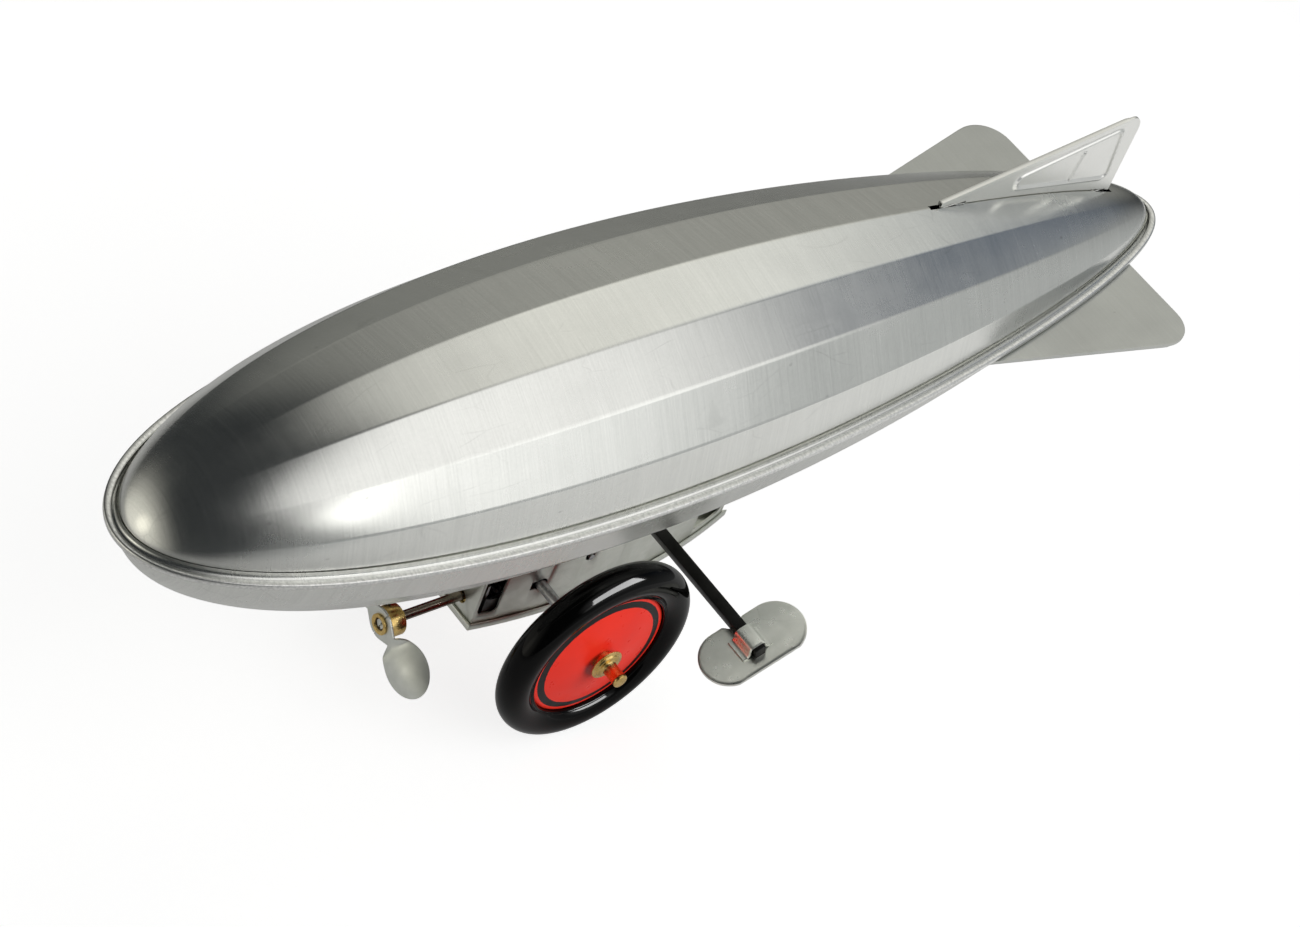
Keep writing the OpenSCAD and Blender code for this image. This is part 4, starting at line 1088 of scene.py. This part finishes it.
keptPieces = (
    # the plates take the darkened steel: painted shade inside the gondola
    (platePaintedShade, ("port_plate", "starboard_plate")),
    (plainSteel, ("plate_pillar", "front_bracket", "ratchet_wheel", "click", "second_arbor", "crown_arbor")),
    (springSteel, ("mainspring", "click_spring")),
    (shaftSteel, ("prop_shaft",)),
    (brass, ("shaft_bush", "great_wheel", "second_wheel", "axle_pinion", "crown_drive_gear", "crown_wheel",
             "prop_pinion")),
)
for material, nodeNames in keptPieces:
    for nodeName in nodeNames:
        nodes[nodeName].data.materials.clear()
        nodes[nodeName].data.materials.append(material)
print("stage: pieces dressed")

# floor, light, camera

studio = dict(floorZ=-0.0187, tableRadius=0.45, floorTone=0.62, floorGlow=0.80, metalSees=0.012,
              darkRoom=(0.015, 0.018, 0.020), awayX=-0.70, awayY=0.71, farFrom=-0.086, farTo=0.30, farGlow=0.56,
              nearFrom=0.42, nearTo=0.17, nearGlow=0.24, lampsAim=0.06)

deselectAll()
bpy.ops.mesh.primitive_circle_add(vertices=96, radius=studio["tableRadius"], fill_type="NGON",
                                  location=(0, 0, studio["floorZ"]))
floor = settle(named("studioFloor"))


def mirrorRays(tree, path):
    return math2(tree, "MAXIMUM", path["Is Glossy Ray"], path["Is Transmission Ray"])


def makeFloorPaint():
    # pale and plain: the camera sees it near white, metal sees a painted glow below
    m, t, s, co = newMaterial("floorPaint")
    feed(t, s.inputs["Base Color"], [studio["floorTone"]] * 3)
    s.inputs["Roughness"].default_value = 0.8
    s.inputs["Specular IOR Level"].default_value = 0.0
    path = t.nodes.new("ShaderNodeLightPath").outputs
    # a painted pool of light, seen only in reflections: brightest on the far side from the camera, standing in for
    # where the light falls
    x, y, _ = addNode(t, "SeparateXYZ", {0: co}).outputs
    away = weighted(t, (x, studio["awayX"]), (y, studio["awayY"]))
    far = softStep(t, away, studio["farFrom"], studio["farTo"], studio["farGlow"])
    # and a weaker painted glow right round the toy, dimmer than the far side's, where the table's top is
    middle = vectorMath(t, "LENGTH", co)["Value"]
    near = softStep(t, middle, studio["nearFrom"], studio["nearTo"], studio["nearGlow"])
    shown = math2(t, "MULTIPLY", path["Is Camera Ray"], studio["floorGlow"])
    paintedReflectionGlow = math2(t, "MULTIPLY", mirrorRays(t, path), math2(t, "MAXIMUM", far, near))
    glow = addNode(t, "Emission", {"Strength": math2(t, "ADD", shown, paintedReflectionGlow)})
    both = addNode(t, "AddShader", {0: s.outputs[0], 1: glow.outputs[0]})
    t.links.new(both.outputs[0], next(n for n in t.nodes if n.type == "OUTPUT_MATERIAL").inputs[0])
    return m


floor.data.materials.append(makeFloorPaint())


def direction(azimuth, elevation):
    a, e = math.radians(azimuth), math.radians(elevation)
    return Vector((math.cos(a) * math.cos(e), math.sin(a) * math.cos(e), math.sin(e)))


# the dark room's soft round patches of light
softPatches = {
    # azimuth, elevation, inner and outer half angle, colour
    "portSource": (115, 42, 20, 37, (1.10, 1.09, 1.08)),
    "farSource": (-159, 54, 1, 31, (0.84, 0.83, 0.78)),
    "farWall": (-135, 20, 8, 40, (0.30, 0.297, 0.272)),
    "farWallFoot": (-125, -14, 10, 30, (0.045, 0.046, 0.041)),
    "blueTail": (178, 30, 4, 26, (0.07, 0.09, 0.13)),
    "ridgeSpot": (94, 20, 1, 8, (1.7, 1.7, 1.65)),
    "lowPort": (132, -22, 21, 67, (0.45, 0.46, 0.46)),
    "lowNose": (-23, -19, 9, 65, (0.80, 0.78, 0.70)),
    "noseSpot": (-12, 3, 2, 17, (0.55, 0.52, 0.44)),
}


def makeWorld():
    world = bpy.data.worlds.new("studioWorld")
    bpy.context.scene.world = world
    world.use_nodes = True
    t = world.node_tree
    wayOut = t.nodes.new("ShaderNodeTexCoord").outputs["Generated"]
    total = None
    for azimuth, elevation, inner, outer, tone in softPatches.values():
        facing = vectorMath(t, "DOT_PRODUCT", wayOut, direction(azimuth, elevation))["Value"]
        lobe = softStep(t, facing, math.cos(math.radians(outer)), math.cos(math.radians(inner)))
        part = mixColor(t, lobe, (0, 0, 0), tone)
        total = part if total is None else mixColor(t, 1.0, total, part, "ADD")
    total = mixColor(t, 1.0, total, studio["darkRoom"], "ADD")
    path = t.nodes.new("ShaderNodeLightPath").outputs
    total = mixColor(t, math2(t, "MULTIPLY", mirrorRays(t, path), studio["metalSees"]), total, (1, 1, 1))
    total = mixColor(t, path["Is Camera Ray"], total, (1, 1, 1))
    background = next(n for n in t.nodes if n.type == "BACKGROUND")
    t.links.new(total, background.inputs["Color"])
    background.inputs["Strength"].default_value = 1.0


makeWorld()


def addSoftBox(name, azimuth, elevation, distance, wide, high, power, onlyOn):
    # a rectangular lamp in that direction from the toy, facing it; it lights the pieces named
    d = direction(azimuth, elevation)
    data = bpy.data.lights.new(name, "AREA")
    data.shape = "RECTANGLE"
    data.size, data.size_y = wide, high
    data.energy = power
    lamp = bpy.data.objects.new(name, data)
    lamp.location = d * distance + Vector((0, 0, studio["lampsAim"]))
    lamp.rotation_euler = d.to_track_quat("Z", "Y").to_euler()
    bpy.context.scene.collection.objects.link(lamp)
    lit = bpy.data.collections.new(name + "Lit")
    for pieceName in onlyOn:
        lit.objects.link(bpy.data.objects[pieceName])
    lamp.light_linking.receiver_collection = lit
    return lamp


# the bright middle of the wide source, as rubber mirrors it, and the light that paint takes from it
rubberBox = addSoftBox("rubberBox", 118, 38, 1.9, 1.7, 0.95, 200, ("portTyre", "starboardTyre"))
rubberBox.visible_diffuse = False
addSoftBox("paintBox", 105, 38, 1.9, 1.3, 0.9, 26, ("portDisc", "starboardDisc", "winding_arbor.dressed"))

shot = dict(place=(605.7, 460.0, 731.3), azimuth=127.011, elevation=42.234, roll=22.793, focalPixels=3790.05,
            widePixels=1300, sensor=36)


def addCamera():
    a, e, r = (math.radians(shot[k]) for k in ("azimuth", "elevation", "roll"))
    back = Vector((math.sin(a) * math.cos(e), -math.cos(a) * math.cos(e), math.sin(e)))
    level = Vector((0, 0, 1)).cross(back).normalized()
    upright = back.cross(level)
    right = level * math.cos(r) + upright * math.sin(r)
    up = upright * math.cos(r) - level * math.sin(r)
    data = bpy.data.cameras.new("camera")
    data.sensor_width = shot["sensor"]
    data.sensor_fit = "HORIZONTAL"
    data.lens = shot["focalPixels"] / shot["widePixels"] * shot["sensor"]
    data.clip_end = 50
    cam = bpy.data.objects.new("camera", data)
    m = Matrix((right, up, back)).transposed().to_4x4()
    m.translation = Vector(shot["place"]) * mm
    cam.matrix_world = m
    bpy.context.scene.collection.objects.link(cam)
    bpy.context.scene.camera = cam


addCamera()
bpy.context.scene.view_settings.view_transform = "Standard"
print("stage: studio set")
